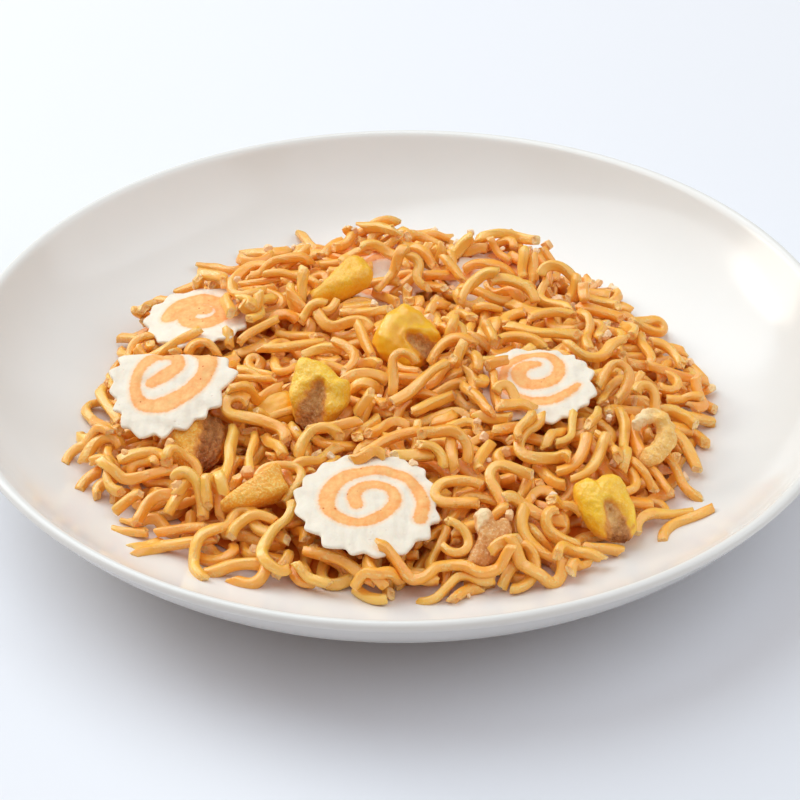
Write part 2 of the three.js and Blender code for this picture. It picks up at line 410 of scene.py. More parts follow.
# Half of the plate's section, from the axis underneath out to the lip and back in to the axis.
def plateProfile():
    foot, floor, hollow, flat = (plateShape[key] for key in ("foot", "floor", "hollow", "flat"))
    inner = foot - plateShape["footWidth"]
    top = rimHeight - plateShape["lipRound"]
    lipIn = (rim - plateShape["lipWidth"], rimHeight - plateShape["lipDrop"])
    under = bezier([(0, hollow), (inner * 0.4, hollow), (inner * 0.8, hollow), (inner - 2.6, hollow)], 14)
    footIn = bezier([(inner - 1.6, hollow), (inner - 0.4, hollow), (inner + 0.1, 0.5),
                     (inner + 0.7, 0)], 8)
    footOut = bezier([(foot - 2.3, 0), (foot - 1.5, 0), (foot - 1.2, 3.4), (foot, 3.7)], 8)
    outer = bezier([(foot, 3.6), (foot * 1.488, 7.6), (rim - 6.4, 19.9), (rim, top)], 34)[1:]
    lip = bezier([(rim, top), (rim, top + 1.5), (rim - 1.5, top + 2.1), lipIn], 14)[1:]
    bowl = bezier([lipIn, (rim - 10, 19.8), (rim - 19, 9.6), (flat, floor + 0.2)], 44)[1:]
    well = bezier([(flat, floor + 0.2), (34, floor + 0.04), (17, floor), (0, floor)], 16)[1:]
    return np.concatenate([under, footIn, footOut, outer, lip, bowl, well]), np.concatenate([bowl, well])


profile, eating = plateProfile()
eating = eating[::-1]


# Height of the eating surface at a distance from the axis.
def eatingSurface(radius):
    return np.interp(radius, eating[:, 0], eating[:, 1])


def glazeMaterial():
    made, tree, shader, spot = startMaterial("whiteGlaze")
    depth = mottled(tree, spot, 24.0, 0.2)
    colour = blended(tree, depth, tint(232, 231, 228), tint(236, 235, 233))
    specks = add(tree, "TexVoronoi", {"Vector": spot, "Scale": 120.0}).outputs["Distance"]
    iron = times(tree, ranged(tree, specks, 0.018, 0.008), 0.35)
    colour = blended(tree, iron, colour, tint(176, 160, 140))
    bare = attribute(tree, "bareFoot")
    colour = blended(tree, bare, colour, tint(222, 212, 196))
    gloss = ranged(tree, depth, 0.0, 1.0, 0.13, 0.2)
    paint(tree, shader, colour, plus(tree, gloss, times(tree, bare, 0.6)))
    orangePeel = add(tree, "TexNoise", {"Vector": spot, "Scale": 160.0, "Detail": 1.0})
    roughen(tree, shader, orangePeel.outputs["Fac"], 0.06, 0.4)
    shader.inputs["IOR"].default_value = 1.5
    return made


# The profile turned about Z, its rim swaying by a hair as thrown ware does.
def makePlate():
    columns = plateShape["columns"]
    around = np.linspace(0, fullTurn, columns, endpoint=False)
    radius, height = profile[:, :1], profile[:, 1:]
    sway = plateShape["sway"] * smoothstep(radius, 70, rim) * np.sin(2 * around + 0.7)
    grid = np.stack([radius * np.cos(around), radius * np.sin(around), height + sway * (height > 8)], -1)
    bare = smoothstep(0.25 - height, 0, 0.2) * np.ones((1, columns))
    plate = buildPiece("plateGlazed", [(grid, {"bareFoot": bare})], glazeMaterial())
    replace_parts(plate, "plate")


makePlate()
print("plate: turned and glazed")


# ---- placing the toppings ----
# The turn that points a piece's own +Z along facing and its +Y as near as can be to heading.
def turned(facing, heading):
    up = np.array(facing, float)
    up /= np.linalg.norm(up)
    ahead = np.array(heading, float)
    ahead -= up * (ahead @ up)
    ahead /= np.linalg.norm(ahead)
    return np.stack([np.cross(ahead, up), ahead, up])


# A topping's points in its own axes, turned as given and put where its CAD node is.
def seated(grid, node, spec):
    placed = grid @ turned(spec["facing"], spec.get("heading", (0, 1, 0)))
    low, high = (np.array(corner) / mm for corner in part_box(node))
    middle = (placed.reshape(-1, 3).min(0) + placed.reshape(-1, 3).max(0)) / 2
    return placed + (low + high) / 2 - middle + spec.get("shift", (0, 0, 0))


toppingGrids = {}


# Seats a topping, remembers where it lies and puts it in its CAD node's place.
def serve(node, name, grid, spec, values, material):
    toppingGrids[node] = seated(grid, node, spec)
    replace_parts(buildPiece(name, [(toppingGrids[node], values)], material), node)


# ---- slices of dried fish cake ----
# How deep the notches are and the size of the pits, in mm; how thick the rim is and how far out the
# section stays flat, as shares; over how many columns to either side the tips are rounded. The teeth
# span 352 degrees on average; their widths and notches vary by shares and their reach by mm.
fishCake = {"notch": 1.8, "tipRound": 2, "columns": 340, "rimThick": 0.6, "pits": 0.75, "flatTo": 0.96,
            "toothWidth": (0.8, 1.2), "toothReach": (-0.4, 0.3), "notchShare": (0.5, 1.15),
            "teethSpan": 352}


# A plain spiral of one width: its radius grows evenly from start to end over the turns.
def spiralRoute(start, end, turns, begin, way, width):
    share = np.linspace(0, 1, 14)
    angle = np.radians(begin) + way * fullTurn * turns * share
    radius = start + (end - start) * share
    return np.stack([radius * np.cos(angle), radius * np.sin(angle), width + 0 * share], -1)


# The teeth's tips, clockwise, each with its bearing in degrees and its reach. They are of uneven
# width, and the rim is drawn out into blunt corners, the first of them at the bearing cornerAt.
def toothTips(spec):
    random = np.random.default_rng(int(10 * spec["phase"]))
    widths = random.uniform(*fishCake["toothWidth"], spec["teeth"])
    bearings = 360 - np.cumsum(widths) * fishCake["teethSpan"] / spec["teeth"]
    drawn = spec["corner"] * np.cos(np.radians(spec["corners"] * (bearings - spec["cornerAt"])))
    uneven = random.uniform(*fishCake["toothReach"], spec["teeth"])
    return np.stack([bearings, spec["radius"] + drawn + uneven], -1)


# The route is the middle of each slice's coloured band, from its inner end, as x, y and the band's
# width in mm on the slice's face. Of the slices at the back little shows, so they are plainer.
plainSlice = dict(thick=1.6, foldFrom=6, foldRadius=40, corner=0.3, corners=3)
slices = {
    "slice_front": dict(
        facing=(0.05, -0.14, 1), shift=(0, 0.2, 0.3), thick=1.7, foldFrom=9.7, foldRadius=40,
        wave=0.4, phase=0.3, lean=0.38, teeth=16, radius=17.1, corner=0.6, corners=1, cornerAt=-125,
        route=[(-3, -1.5, 3), (-3.5, 2, 3), (-0.5, 4.8, 2.7), (4, 4, 2.8), (5.6, 0, 3), (2.5, -4.8, 2.8),
               (-3, -7.2, 2.8), (-8.5, -4.5, 3.4), (-9.5, 1, 4), (-6, 7, 3.6), (1, 9.6, 3), (8, 7.2, 3),
               (11.8, 0.5, 3.2), (11.2, -5, 3.2)]),
    "slice_left": dict(
        facing=(-0.08, -0.26, 0.96), heading=(0.1, 1, 0), shift=(0.2, 0.3, 0.5), thick=1.7, foldFrom=6.5,
        foldRadius=6, wave=0.3, phase=1.7, lean=0.5, teeth=16, radius=15.3, corner=1.3, corners=3,
        cornerAt=-105,
        route=[(-4, 0.5, 2.8), (-1, 2.8, 3.8), (1.6, 6, 3.6), (0, 8.8, 3), (-4.2, 8.6, 3.2),
               (-7.2, 4.5, 2.8), (-7.6, -1.5, 2.8), (-5.2, -6, 3.6), (0, -6, 4.4), (5.4, -1.8, 4.6),
               (8.4, 3.5, 4.4), (8, 9, 4.6), (4, 13, 4)]),
    "slice_right": dict(
        facing=(-0.02, -0.1, 1), shift=(0.1, 0.2, 0.3), thick=1.6, foldFrom=6, foldRadius=22,
        wave=0.5, phase=3.1, lean=0.45, teeth=17, radius=14.6, corner=1.2, corners=1, cornerAt=-135,
        route=[(-0.8, 5.6, 2.2), (-4, 4.6, 3.6), (-5.4, 1.8, 3.8), (-3.4, -1.4, 3.4), (0.8, -1.4, 3.4),
               (4, 2, 3.2), (3.8, 7, 2.8), (0, 9.4, 2.5), (-4.5, 8, 2.2), (-8.4, 4, 2.1),
               (-8.6, -2.5, 2.4), (-4, -7.2, 3.2), (2, -7.6, 3), (6.5, -4.6, 2.3), (8.4, -2.2, 1.5)]),
    "slice_back_left": dict(
        plainSlice, facing=(-0.1, 0.02, 1), heading=(-0.2, 1, 0), shift=(0.3, 0.9, 1.2), wave=0.5,
        phase=4.4, lean=0.4, teeth=14, radius=14.4, cornerAt=20,
        route=spiralRoute(2, 7.8, 1.3, 60, 1, 4.6)),
    "slice_back": dict(
        plainSlice, facing=(0.02, -0.2, 0.98), wave=0.3, phase=5.2, lean=0.5, teeth=15, radius=12.2,
        cornerAt=50, route=spiralRoute(6, 9, 1.2, 140, -1, 2)),
    "slice_back_right": dict(
        plainSlice, facing=(0.05, -0.15, 0.98), wave=0.3, phase=0.9, lean=0.5, teeth=15, radius=12.2,
        cornerAt=80, route=spiralRoute(6, 9, 1.2, 20, 1, 2)),
}


def fishCakeMaterial():
    made, tree, shader, spot = startMaterial("driedFishCake")
    blotch = mottled(tree, spot, 5.0, 0.45)
    cloud = mottled(tree, spot, 2.2, 0.4)
    fine = mottled(tree, spot, 0.7, 0.3)
    skin = useGroup(tree, friedSkin, {"Vector": spot, "Size": fishCake["pits"]})
    white = blended(tree, blotch, tint(234, 222, 204), tint(244, 236, 220))
    orange = blended(tree, cloud, tint(248, 146, 58), tint(250, 203, 132))
    orange = blended(tree, times(tree, ranged(tree, fine, 0.2, 0.8), 0.4), orange, tint(250, 207, 142))
    edge = plus(tree, attribute(tree, "band"), times(tree, minus(tree, fine, 0.5), 0.6))
    inBand = ranged(tree, edge, 0.32, -0.32)
    fringe = times(tree, ranged(tree, edge, 1.2, 0.2), 0.5)
    colour = blended(tree, fringe, white, tint(252, 212, 172))
    outline = times(tree, ranged(tree, edge, -1.1, -0.2), 0.3)
    orange = blended(tree, outline, orange, tint(250, 150, 62))
    colour = blended(tree, inBand, colour, orange)
    pitted = times(tree, skin.outputs["Pits"], ranged(tree, inBand, 0.0, 1.0, 0.06, 1.0))
    colour = blended(tree, pitted, colour, tint(218, 106, 28))
    paint(tree, shader, colour, ranged(tree, fine, 0, 1, 0.48, 0.7))
    roughen(tree, shader, skin.outputs["Height"], 0.4, 0.3)
    soften(shader, 0.15, (1.0, 0.7, 0.45), 1.0)
    return made


# Distance in mm from the edge of the coloured band, less than 0 inside it.
def bandDistance(x, y, spec):
    route = smoothRoute(spec["route"])
    share = np.linspace(0, 1, len(route))
    near = np.hypot(x[..., None] - route[:, 0], y[..., None] - route[:, 1])
    half = route[:, 2] / 2 * (1 + 0.05 * np.sin(19 * share + spec["phase"]))
    return (near - half).min(-1)


# The rim's reach at each bearing: from each tooth's tip in to the notch that comes a share lean of
# the way past it, and out again to the next tip, then smoothed a little to round the tips.
def rimReach(angle, spec):
    random = np.random.default_rng(int(10 * spec["phase"]) + 1)
    tips = toothTips(spec)
    tips = np.concatenate([tips, tips[:1]])
    past = tips[0, 0] - tips[:, 0]
    past[-1] = 360
    lean = np.clip(random.normal(spec["lean"], 0.08, len(past) - 1), 0.25, 0.7)
    notchAt = past[:-1] + lean * np.diff(past)
    depth = fishCake["notch"] * random.uniform(*fishCake["notchShare"], len(lean))
    notch = np.minimum(tips[:-1, 1], tips[1:, 1]) - depth
    at = np.concatenate([np.stack([past[:-1], notchAt], -1).ravel(), [360]])
    reach = np.concatenate([np.stack([tips[:-1, 1], notch], -1).ravel(), tips[-1:, 1]])
    sharp = np.interp((tips[0, 0] - np.degrees(angle)) % 360, at, reach)
    half = fishCake["tipRound"]
    around = np.concatenate([sharp[-half:], sharp, sharp[:half]])
    return np.convolve(around, np.ones(2 * half + 1) / (2 * half + 1), mode="valid")


# A disc whose section runs from the middle of its top over a round edge and back underneath, its
# rim toothed and thinner. Past foldFrom the disc bends down round a cylinder of radius foldRadius.
def sliceGrid(spec):
    columns = fishCake["columns"]
    angle = np.linspace(0, fullTurn, columns, endpoint=False)
    top, edge, back = 33, 9, 11
    over = np.linspace(0, np.pi, edge)
    flatTo = fishCake["flatTo"]
    share = np.concatenate([np.linspace(0, flatTo, top + 1)[:-1], flatTo + (1 - flatTo) * np.sin(over),
                            np.linspace(flatTo, 0, back + 1)[1:]])[:, None]
    side = np.concatenate([np.ones(top), np.cos(over), -np.ones(back)])[:, None]
    reach = rimReach(angle, spec)
    window = np.hanning(columns // 6)
    thrice = np.concatenate([reach] * 3)
    even = np.convolve(thrice, window / window.sum(), mode="same")[columns:2 * columns]
    radius = even * share + (reach - even) * smoothstep(share, 0.74, 0.95)
    x, y = radius * np.cos(angle), radius * np.sin(angle)
    band = bandDistance(x, y, spec)
    flat = np.stack([x, y, np.zeros_like(x)], -1)
    swell = 0.16 * ripples(flat, 6.0, 11) + 0.05 * ripples(flat, 2.2, 12)
    swell += 0.1 * smoothstep(-band, -0.4, 0.9)
    warp = spec["wave"] * share ** 2 * np.sin(2 * angle + spec["phase"])
    thick = spec["thick"] * (1 - (1 - fishCake["rimThick"]) * smoothstep(share, 0.6, 1.0))
    lift = side * thick / 2 + warp + swell * (side > 0)
    bend = np.maximum(0, y - spec["foldFrom"]) / spec["foldRadius"]
    arm = spec["foldRadius"] + lift
    shaped = np.stack([x, np.minimum(y, spec["foldFrom"]) + arm * np.sin(bend),
                       arm * np.cos(bend) - spec["foldRadius"]], -1)
    return shaped, np.where(side > 0.2, band, 4.0)


def makeSlices():
    material = fishCakeMaterial()
    for node, spec in slices.items():
        shaped, band = sliceGrid(spec)
        serve(node, node + "_cut", shaped, spec, {"band": band}, material)


makeSlices()
print("fish cake:", len(slices), "slices")


# ---- fried giant corn kernels ----
# Each is a pillow: a smooth outline through points in mm on its broad face, clockwise from the top,
# as thick as given and blocky as square says (1 is round, less is squarer). The germ's valley goes
# along its places, each with half its width there, and is so deep; lumps in mm; grain 0 to 1 is how
# granulated the skin is, lemon how yellow; toast is how dark the germ is at either end. The shift
# in mm is from the CAD node's middle.
noValley = [(0, 0, 0.1), (0.1, 0, 0.1)]
kernels = {
    "kernel_centre": dict(
        facing=(0.12, -0.66, 0.74), shift=(0, -0.2, -0.4), thick=9.6, square=0.72, lumps=0.34, grain=0.1,
        lemon=0.8, toast=(0.0, 0.45), deep=2.8, seed=21,
        outline=[(-1, 8), (3, 5.6), (6.6, 2.6), (8, 0.4), (6.6, -4), (1.8, -7.6), (-4, -6.6),
                 (-7.4, -4.2), (-8.2, -1.2), (-6.2, 3.8), (-3.8, 7)],
        valley=[(0.4, -0.8, 1.2), (3.4, -2.2, 2.2), (7.4, -4.4, 3.2)]),
    "kernel_upright": dict(
        facing=(-0.1, -0.62, 0.78), shift=(-0.4, -0.2, -0.2), thick=8.4, square=0.66, lumps=0.4, grain=0.8,
        lemon=0.9, toast=(0.1, 0.8), deep=2.6, seed=22,
        outline=[(-3.2, 8.6), (0.4, 7.8), (3.5, 5.4), (5.6, 2.4), (7.4, 1.4), (7, -1.8), (4.6, -5.6),
                 (-1.4, -8.4), (-4.8, -6.6), (-6.7, -2.8), (-6.3, 2.4), (-4.9, 6.6)],
        valley=[(0.6, 1, 1.3), (-0.4, -1.8, 2.4), (-2, -5, 3.2), (-3, -8, 3.6)]),
    "kernel_edgeways": dict(
        facing=(-0.2, -0.4, 0.9), shift=(-0.6, -0.7, -1), thick=7.4, square=0.74, lumps=0.2, grain=0.45,
        lemon=0.8, deep=0.9, seed=23,
        outline=[(-9, -6.4), (-8.2, -4), (-5.8, -2.8), (-1.8, 0.6), (1.8, 4), (4.4, 5.6), (6.8, 4.8),
                 (8, 2.4), (9, 0.4), (7.2, -2.4), (2.6, -4.4), (-3.8, -5.8), (-7, -6.4)],
        valley=[(-9.4, -6.4, 2.2), (-7.4, -4.8, 1.2)]),
    "kernel_left": dict(
        facing=(0.1, -0.56, 0.83), shift=(-0.5, 0.5, 0.7), thick=7.6, square=0.7, lumps=0.4, grain=0.95,
        lemon=0.3, toast=(0.5, 1.0), deep=1.8, seed=24,
        outline=[(0.8, 7.4), (5.2, 5.2), (6.8, 0.6), (5.2, -4), (1.8, -7), (-2.2, -7.4), (-5.6, -4.2),
                 (-6.8, 2.2), (-4.4, 6)],
        valley=[(3.6, 7, 3.4), (3.4, 1, 3.2), (2.2, -7, 3.2)]),
    "kernel_wedge": dict(
        facing=(-0.06, -0.5, 0.86), shift=(-0.2, 0.1, 0.2), thick=6.6, square=0.5, lumps=0.24, grain=1.0,
        lemon=0.0, deep=0, valley=noValley, seed=25,
        outline=[(-7.8, -4.2), (-3.4, -0.2), (1.6, 3), (5, 4.8), (6.3, 3.8), (6.8, 1.2), (7.8, -1),
                 (5.2, -2.8), (0.2, -4.2), (-4, -4.8)]),
    "kernel_right": dict(
        facing=(0.06, -0.62, 0.78), shift=(0.6, 0, 0), thick=8, square=0.72, lumps=0.4, grain=0.5,
        lemon=1.0, toast=(-0.8, 1.0), deep=2.0, seed=26,
        outline=[(-7.2, 3.2), (-6, 5.6), (-4, 6.2), (-2.6, 5.7), (-1, 7.2), (1.6, 7.6), (3.8, 5.8),
                 (5.2, 2.8), (6.7, -1), (6.6, -5.2), (4.4, -7.7), (0.6, -7.7), (-3.2, -5.2), (-5.8, -0.8)],
        valley=[(0.2, 0, 0.9), (1.2, -2.2, 1.7), (2.4, -4.8, 2.5), (3.4, -8, 3.2)]),
    "kernel_buried": dict(
        facing=(-0.1, -0.4, 0.92), shift=(1.2, 0, -1), thick=7, square=0.76, lumps=0.2, grain=0.1,
        lemon=0.6, deep=0, valley=noValley, seed=27,
        outline=[(-6, -2), (-4.6, 3), (0, 4.8), (5, 3.6), (6.4, -0.4), (4, -4.2), (-2, -4.8)]),
}


def cornMaterial():
    made, tree, shader, spot = startMaterial("friedCorn")
    patch = mottled(tree, spot, 6.0, 0.5)
    fine = mottled(tree, spot, 0.5, 0.5)
    streak = mottled(tree, spot, 1.5, 0.6)
    skin = useGroup(tree, friedSkin, {"Vector": spot, "Size": 0.5})
    germ, grain, lemon = (attribute(tree, name) for name in ("germ", "grain", "lemon"))
    deep = blended(tree, lemon, tint(238, 148, 12), tint(246, 174, 4))
    pale = blended(tree, lemon, tint(254, 184, 46), tint(255, 208, 34))
    colour = blended(tree, patch, deep, pale)
    grains = times(tree, ranged(tree, fine, 0.35, 0.9), ranged(tree, grain, 0, 1, 0.08, 0.7))
    colour = blended(tree, grains, colour, tint(255, 230, 140))
    dark = blended(tree, streak, tint(126, 56, 10), tint(204, 118, 36))
    light = blended(tree, streak, tint(222, 144, 52), tint(250, 208, 140))
    brown = blended(tree, attribute(tree, "toast"), light, dark)
    colour = blended(tree, ranged(tree, germ, 0.0, 0.6), colour, tint(232, 150, 52))
    colour = blended(tree, ranged(tree, germ, 0.4, 1.0), colour, brown)
    # Pale flecks in the germ, a little glossier too: painted glints.
    sparks = add(tree, "TexVoronoi", {"Vector": spot, "Scale": 1500.0}).outputs["Distance"]
    paintedGlints = times(tree, ranged(tree, sparks, 0.24, 0.08), ranged(tree, germ, 0.3, 0.7))
    colour = blended(tree, times(tree, paintedGlints, 0.4), colour, tint(252, 214, 160))
    rough = plus(tree, ranged(tree, fine, 0, 1, 0.26, 0.4), times(tree, grain, 0.16))
    paint(tree, shader, colour, minus(tree, rough, times(tree, paintedGlints, 0.12)))
    bumpy = times(tree, skin.outputs["Height"], ranged(tree, grain, 0, 1, 0.25, 1.0))
    rise = plus(tree, bumpy, times(tree, times(tree, germ, fine), 2.4))
    roughen(tree, shader, rise, 0.6, 0.3)
    shader.inputs["Specular IOR Level"].default_value = 0.7
    soften(shader, 0.2, (1.0, 0.6, 0.12), 2.0)
    return made


# Distance from a line of places, counted in the half widths given with them, and the share of the
# line's length at which it is nearest.
def nearness(x, y, places):
    line = smoothRoute(places)
    near = np.hypot(x[..., None] - line[:, 0], y[..., None] - line[:, 1]) / line[:, 2]
    return near.min(-1), near.argmin(-1) / len(line)


# A closed outline as a pillow: rows go from the middle of its face over the edge to the back.
def pillow(spec):
    steps, rows, columns = 24, 60, 96
    points = np.array(spec["outline"], float)
    ring = smoothRoute(np.concatenate([points[-2:], points, points[:2]]), steps)[steps * 2:-steps - 1]
    along = travelled(ring)[1]
    edge = sampled(np.linspace(0, along[-1], columns, endpoint=False), along, ring)
    middle = edge.mean(0)
    polar = np.linspace(0, np.pi, rows)[:, None]
    share = np.sin(polar) ** spec["square"]
    height = blocky(np.cos(polar), spec["square"]) * np.ones(len(edge))
    flat = middle + (edge - middle) * share[..., None]
    outward = np.concatenate([(edge - middle) / 8 * share[..., None], height[..., None]], -1)
    return flat[..., 0], flat[..., 1], height, outward


# The pillow with the germ's valley sunk into its face between raised lips, then lumps all over it.
def kernelGrid(spec):
    x, y, height, outward = pillow(spec)
    seed = spec["seed"]
    near, along = nearness(x, y, spec["valley"])
    front = smoothstep(height, 0.0, 0.45)
    sunk = spec["deep"] * np.exp(-near ** 2) * front
    lips = 0.16 * spec["deep"] * np.exp(-((near - 1.6) / 0.5) ** 2) * front
    shaped = np.stack([x, y, height * spec["thick"] / 2 - sunk + lips], -1)
    mask = 1.25 * np.exp(-(near / 1.05) ** 2) * smoothstep(height, -0.5, 0.1) * (spec["deep"] > 0)
    germ = smoothstep(mask + 0.14 * ripples(shaped, 1.7, seed + 60), 0.12, 1.1)
    rise = spec["lumps"] * (0.6 * ripples(shaped, 5.0, seed) + 0.25 * ripples(shaped, 2.2, seed + 40))
    rise += spec["grain"] * 0.06 * ripples(shaped, 0.8, seed + 20)
    folds = np.abs(ripples(shaped, 2.4, seed + 90))
    rise += germ * (0.13 * ripples(shaped, 0.9, seed + 80) + 0.3 * folds)
    toast = np.interp(along, (0, 1), spec.get("toast", (0.5, 0.9)))
    return shaped + outward * rise[..., None], germ, toast


def makeKernels():
    corn = cornMaterial()
    for node, spec in kernels.items():
        shaped, germ, toast = kernelGrid(spec)
        even = np.ones_like(germ)
        values = {"germ": germ, "toast": toast}
        values.update({key: spec[key] * even for key in ("grain", "lemon")})
        serve(node, node + "_fried", shaped, spec, values, corn)


makeKernels()
print("corn:", len(kernels), "kernels")


# ---- toasted chip and puffed crescent ----
# The chip is a pillow too, pale along its left edge and where a lump sticks to it.
chip = dict(
    facing=(0.1, -0.62, 0.78), shift=(1.2, -0.7, -1), thick=3.6, square=0.46, curve=0.02, seed=28,
    outline=[(-0.6, 6.8), (1, 5.4), (1.6, 4.4), (4, 5.4), (5.4, 3), (4.8, -0.6), (2.5, -3.8), (-0.7, -6.6),
             (-4.4, -7), (-3.6, -3.7), (-2, 0.5), (-2.6, 3), (-3, 5.6)],
    pale=[(-2.2, 6.2, 1.6), (-1.4, 5, 1.3), (-2.2, 2, 0.4), (-3.6, -3, 0.4)])
# The crescent goes along places given with half its width; its first end is pale and ragged.
crescent = dict(
    facing=(-0.05, -0.6, 0.8), shift=(-0.1, 0.3, 0.4), thick=0.9, seed=33,
    route=[(-4, 3.2, 1.3), (-2, 5.5, 1.7), (1, 6.1, 1.9), (3.1, 4.3, 2), (3.3, 1.2, 2.2), (1.5, -1.9, 2.3),
           (-1.2, -4, 2.2), (-3.4, -4.6, 1.8)])


# Rough fried dough from dark to pale, paler still where the attribute pale is 1.
def doughMaterial(name, dark, bright, palest, size):
    made, tree, shader, spot = startMaterial(name)
    patch = mottled(tree, spot, size, 0.5)
    fine = mottled(tree, spot, 0.7, 0.5)
    skin = useGroup(tree, friedSkin, {"Vector": spot, "Size": 0.5})
    colour = blended(tree, patch, dark, bright)
    colour = blended(tree, times(tree, fine, 0.5), colour, bright)
    colour = blended(tree, times(tree, ranged(tree, fine, 0.5, 0.8), 0.45), colour, palest)
    colour = blended(tree, attribute(tree, "pale"), colour, palest)
    paint(tree, shader, colour, ranged(tree, fine, 0, 1, 0.4, 0.6))
    roughen(tree, shader, skin.outputs["Height"], 0.7, 0.4)
    soften(shader, 0.15, (1.0, 0.6, 0.3), 1.5)
    return made


def makeChip():
    x, y, height, outward = pillow(chip)
    shaped = np.stack([x, y, height * chip["thick"] / 2 - chip["curve"] * x * x], -1)
    rise = 0.3 * ripples(shaped, 3.6, chip["seed"]) + 0.12 * ripples(shaped, 1.3, chip["seed"] + 1)
    near = nearness(x, y, chip["pale"])[0] + 0.2 * ripples(shaped, 2.0, chip["seed"] + 2)
    pale = smoothstep(near, 1.5, 0.6)
    shaped = shaped + outward * (rise + 0.5 * pale)[..., None]
    toast = doughMaterial("toastedChip", tint(206, 128, 58), tint(240, 178, 104), tint(252, 222, 174), 3.5)
    serve("toasted_chip", "chip_toasted", shaped, chip, {"pale": pale}, toast)


# A bumpy tube along its route, closed by round ends.
def makeCrescent():
    rows, columns = 70, 36
    route = smoothRoute(crescent["route"])
    along = travelled(route[:, :2])[1]
    at = (1 - np.cos(np.linspace(0, np.pi, rows))) / 2 * along[-1]
    x, y, half = sampled(at, along, route).T
    way = unit(np.gradient(np.stack([x, y], -1), axis=0))
    toEnd = np.minimum(at, along[-1] - at)
    half = half * np.sqrt(1 - (1 - np.clip(toEnd / half, 0, 1)) ** 2)
    around = np.linspace(0, fullTurn, columns, endpoint=False)
    centre = np.stack([x, y, 0 * x], -1)[:, None]
    outward = np.stack([way[:, 1:] * np.cos(around), -way[:, :1] * np.cos(around),
                        crescent["thick"] * np.sin(around) * np.ones_like(x)[:, None]], -1)
    grid = centre + outward * half[:, None, None]
    pale = smoothstep(at, 0.36 * along[-1], 0.1 * along[-1])[:, None] * np.ones(len(around))
    bumps = 0.3 * ripples(grid, 3.6, crescent["seed"]) + 0.12 * ripples(grid, 1.6, crescent["seed"] + 1)
    bumps += pale * 0.3 * ripples(grid, 1.4, crescent["seed"] + 2)
    grid = grid + outward * (bumps * smoothstep(toEnd, 0, 2.0)[:, None])[..., None]
    dough = doughMaterial("puffedDough", tint(236, 172, 76), tint(252, 208, 120), tint(252, 224, 176), 2.4)
    serve("puffed_crescent", "crescent_puffed", grid, crescent, {"pale": pale}, dough)


makeChip()
makeCrescent()
print("chip and crescent made")


# ---- the pile of noodle bits ----
# Noodle bits are stiff: each is a bent line that is turned many ways over the places that still
# lack most, let down until it touches what lies there, and kept where it lies lowest.
# Lengths are in mm.
pile = {
    "reach": 92.0, "step": 0.5,  # how far the grid of heights reaches, and its step
    "gauge": 1.12, "press": 0.95,  # a bit's radius, and the share of it at which two bits touch
    "lineStep": 0.6,  # the steps along a bit's line
    "core": 9.0, "coreReach": 66.0,  # how deep bits are laid, and how far out the core goes
    "overRim": 2.0,  # how far bits reach past the mound's outline
    "ceiling": 33.2,  # the highest that a bit's middle may lie
    "nowhere": -50.0,  # a height below everything
    "room": 17.0,  # the width of pits in the mound that are filled, as they are for the toppings
    "sightSlope": 0.69, "sightReach": 24,  # how much the line of sight climbs to the front, and how far
    "sunk": 1.5,  # how far the listed bits sink in
    "gap": 0.3, "coverHeight": 5.2,  # the gap round a topping, and how high bits may cover it
    "first": ((26, 48, 300), (12, 26, 460), (5, 12, 150)),  # lengths: least, most and how many
    "smaller": (6, 20, 300), "covering": (6, 20, 420),  # those among them and those over toppings
    "standOut": (0.35, 0.5, 0.7),  # how far these three kinds stand out of the mound on average
    "standing": 0.34, "places": 12,  # the share that stand up on their bends; places tried for each
    "seed": 5,
}
apart = 2 * pile["gauge"] * pile["press"]
gridCount = int(2 * pile["reach"] / pile["step"]) + 1
gridLine = np.linspace(-pile["reach"], pile["reach"], gridCount)
gridX, gridY = np.meshgrid(gridLine, gridLine, indexing="ij")
gridRadius = np.hypot(gridX, gridY)


# What pick chooses, such as the highest, from the square that reaches so far round each cell.
def picked(field, reach, pick):
    cells = int(reach / pile["step"])
    for axis in (0, 1):
        field = pick.reduce([np.roll(field, shift, axis) for shift in range(-cells, cells + 1)])
    return field


# The highest within a square, then the lowest of those: narrow pits are filled.
def closed(field, reach):
    cells = int(reach / pile["step"])
    field = np.pad(field, cells, constant_values=np.nan)
    field = picked(picked(field, reach, np.fmax), reach, np.minimum)
    return field[cells:-cells, cells:-cells]


# Height of the mound's top over the grid, by looking down on its CAD node; NaN past its outline.
def moundTop():
    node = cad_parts["noodle_mound"]
    corners = [vertex.co.copy() for vertex in node.data.vertices]
    faces = [tuple(face.vertices) for face in node.data.polygons]
    tree = BVHTree.FromPolygons(corners, faces)
    coarse = np.linspace(-pile["reach"], pile["reach"], (gridCount + 1) // 2)
    down = Vector((0, 0, -1))
    found = np.full((len(coarse), len(coarse)), np.nan)
    for i, x in enumerate(coarse):
        for j, y in enumerate(coarse):
            place = tree.ray_cast(Vector((x * mm, y * mm, 1)), down)[0]
            if place is not None:
                found[i, j] = place.z / mm
    nearest = np.clip(np.round(np.arange(gridCount) / 2).astype(int), 0, len(coarse) - 1)
    return closed(found[np.ix_(nearest, nearest)], pile["room"])


# The grid's row or column for each x or y in mm.
def cellOf(values):
    return np.clip(np.round((values + pile["reach"]) / pile["step"]).astype(int), 0, gridCount - 1)


# The cells within a distance of a cell, and how high a ball of that radius stands over each.
def ballCells(radius):
    half = int(radius / pile["step"])
    i, j = np.meshgrid(np.arange(-half, half + 1), np.arange(-half, half + 1), indexing="ij")
    rise = radius ** 2 - (i ** 2 + j ** 2) * pile["step"] ** 2
    keep = rise > 0
    return i[keep], j[keep], np.sqrt(rise[keep])


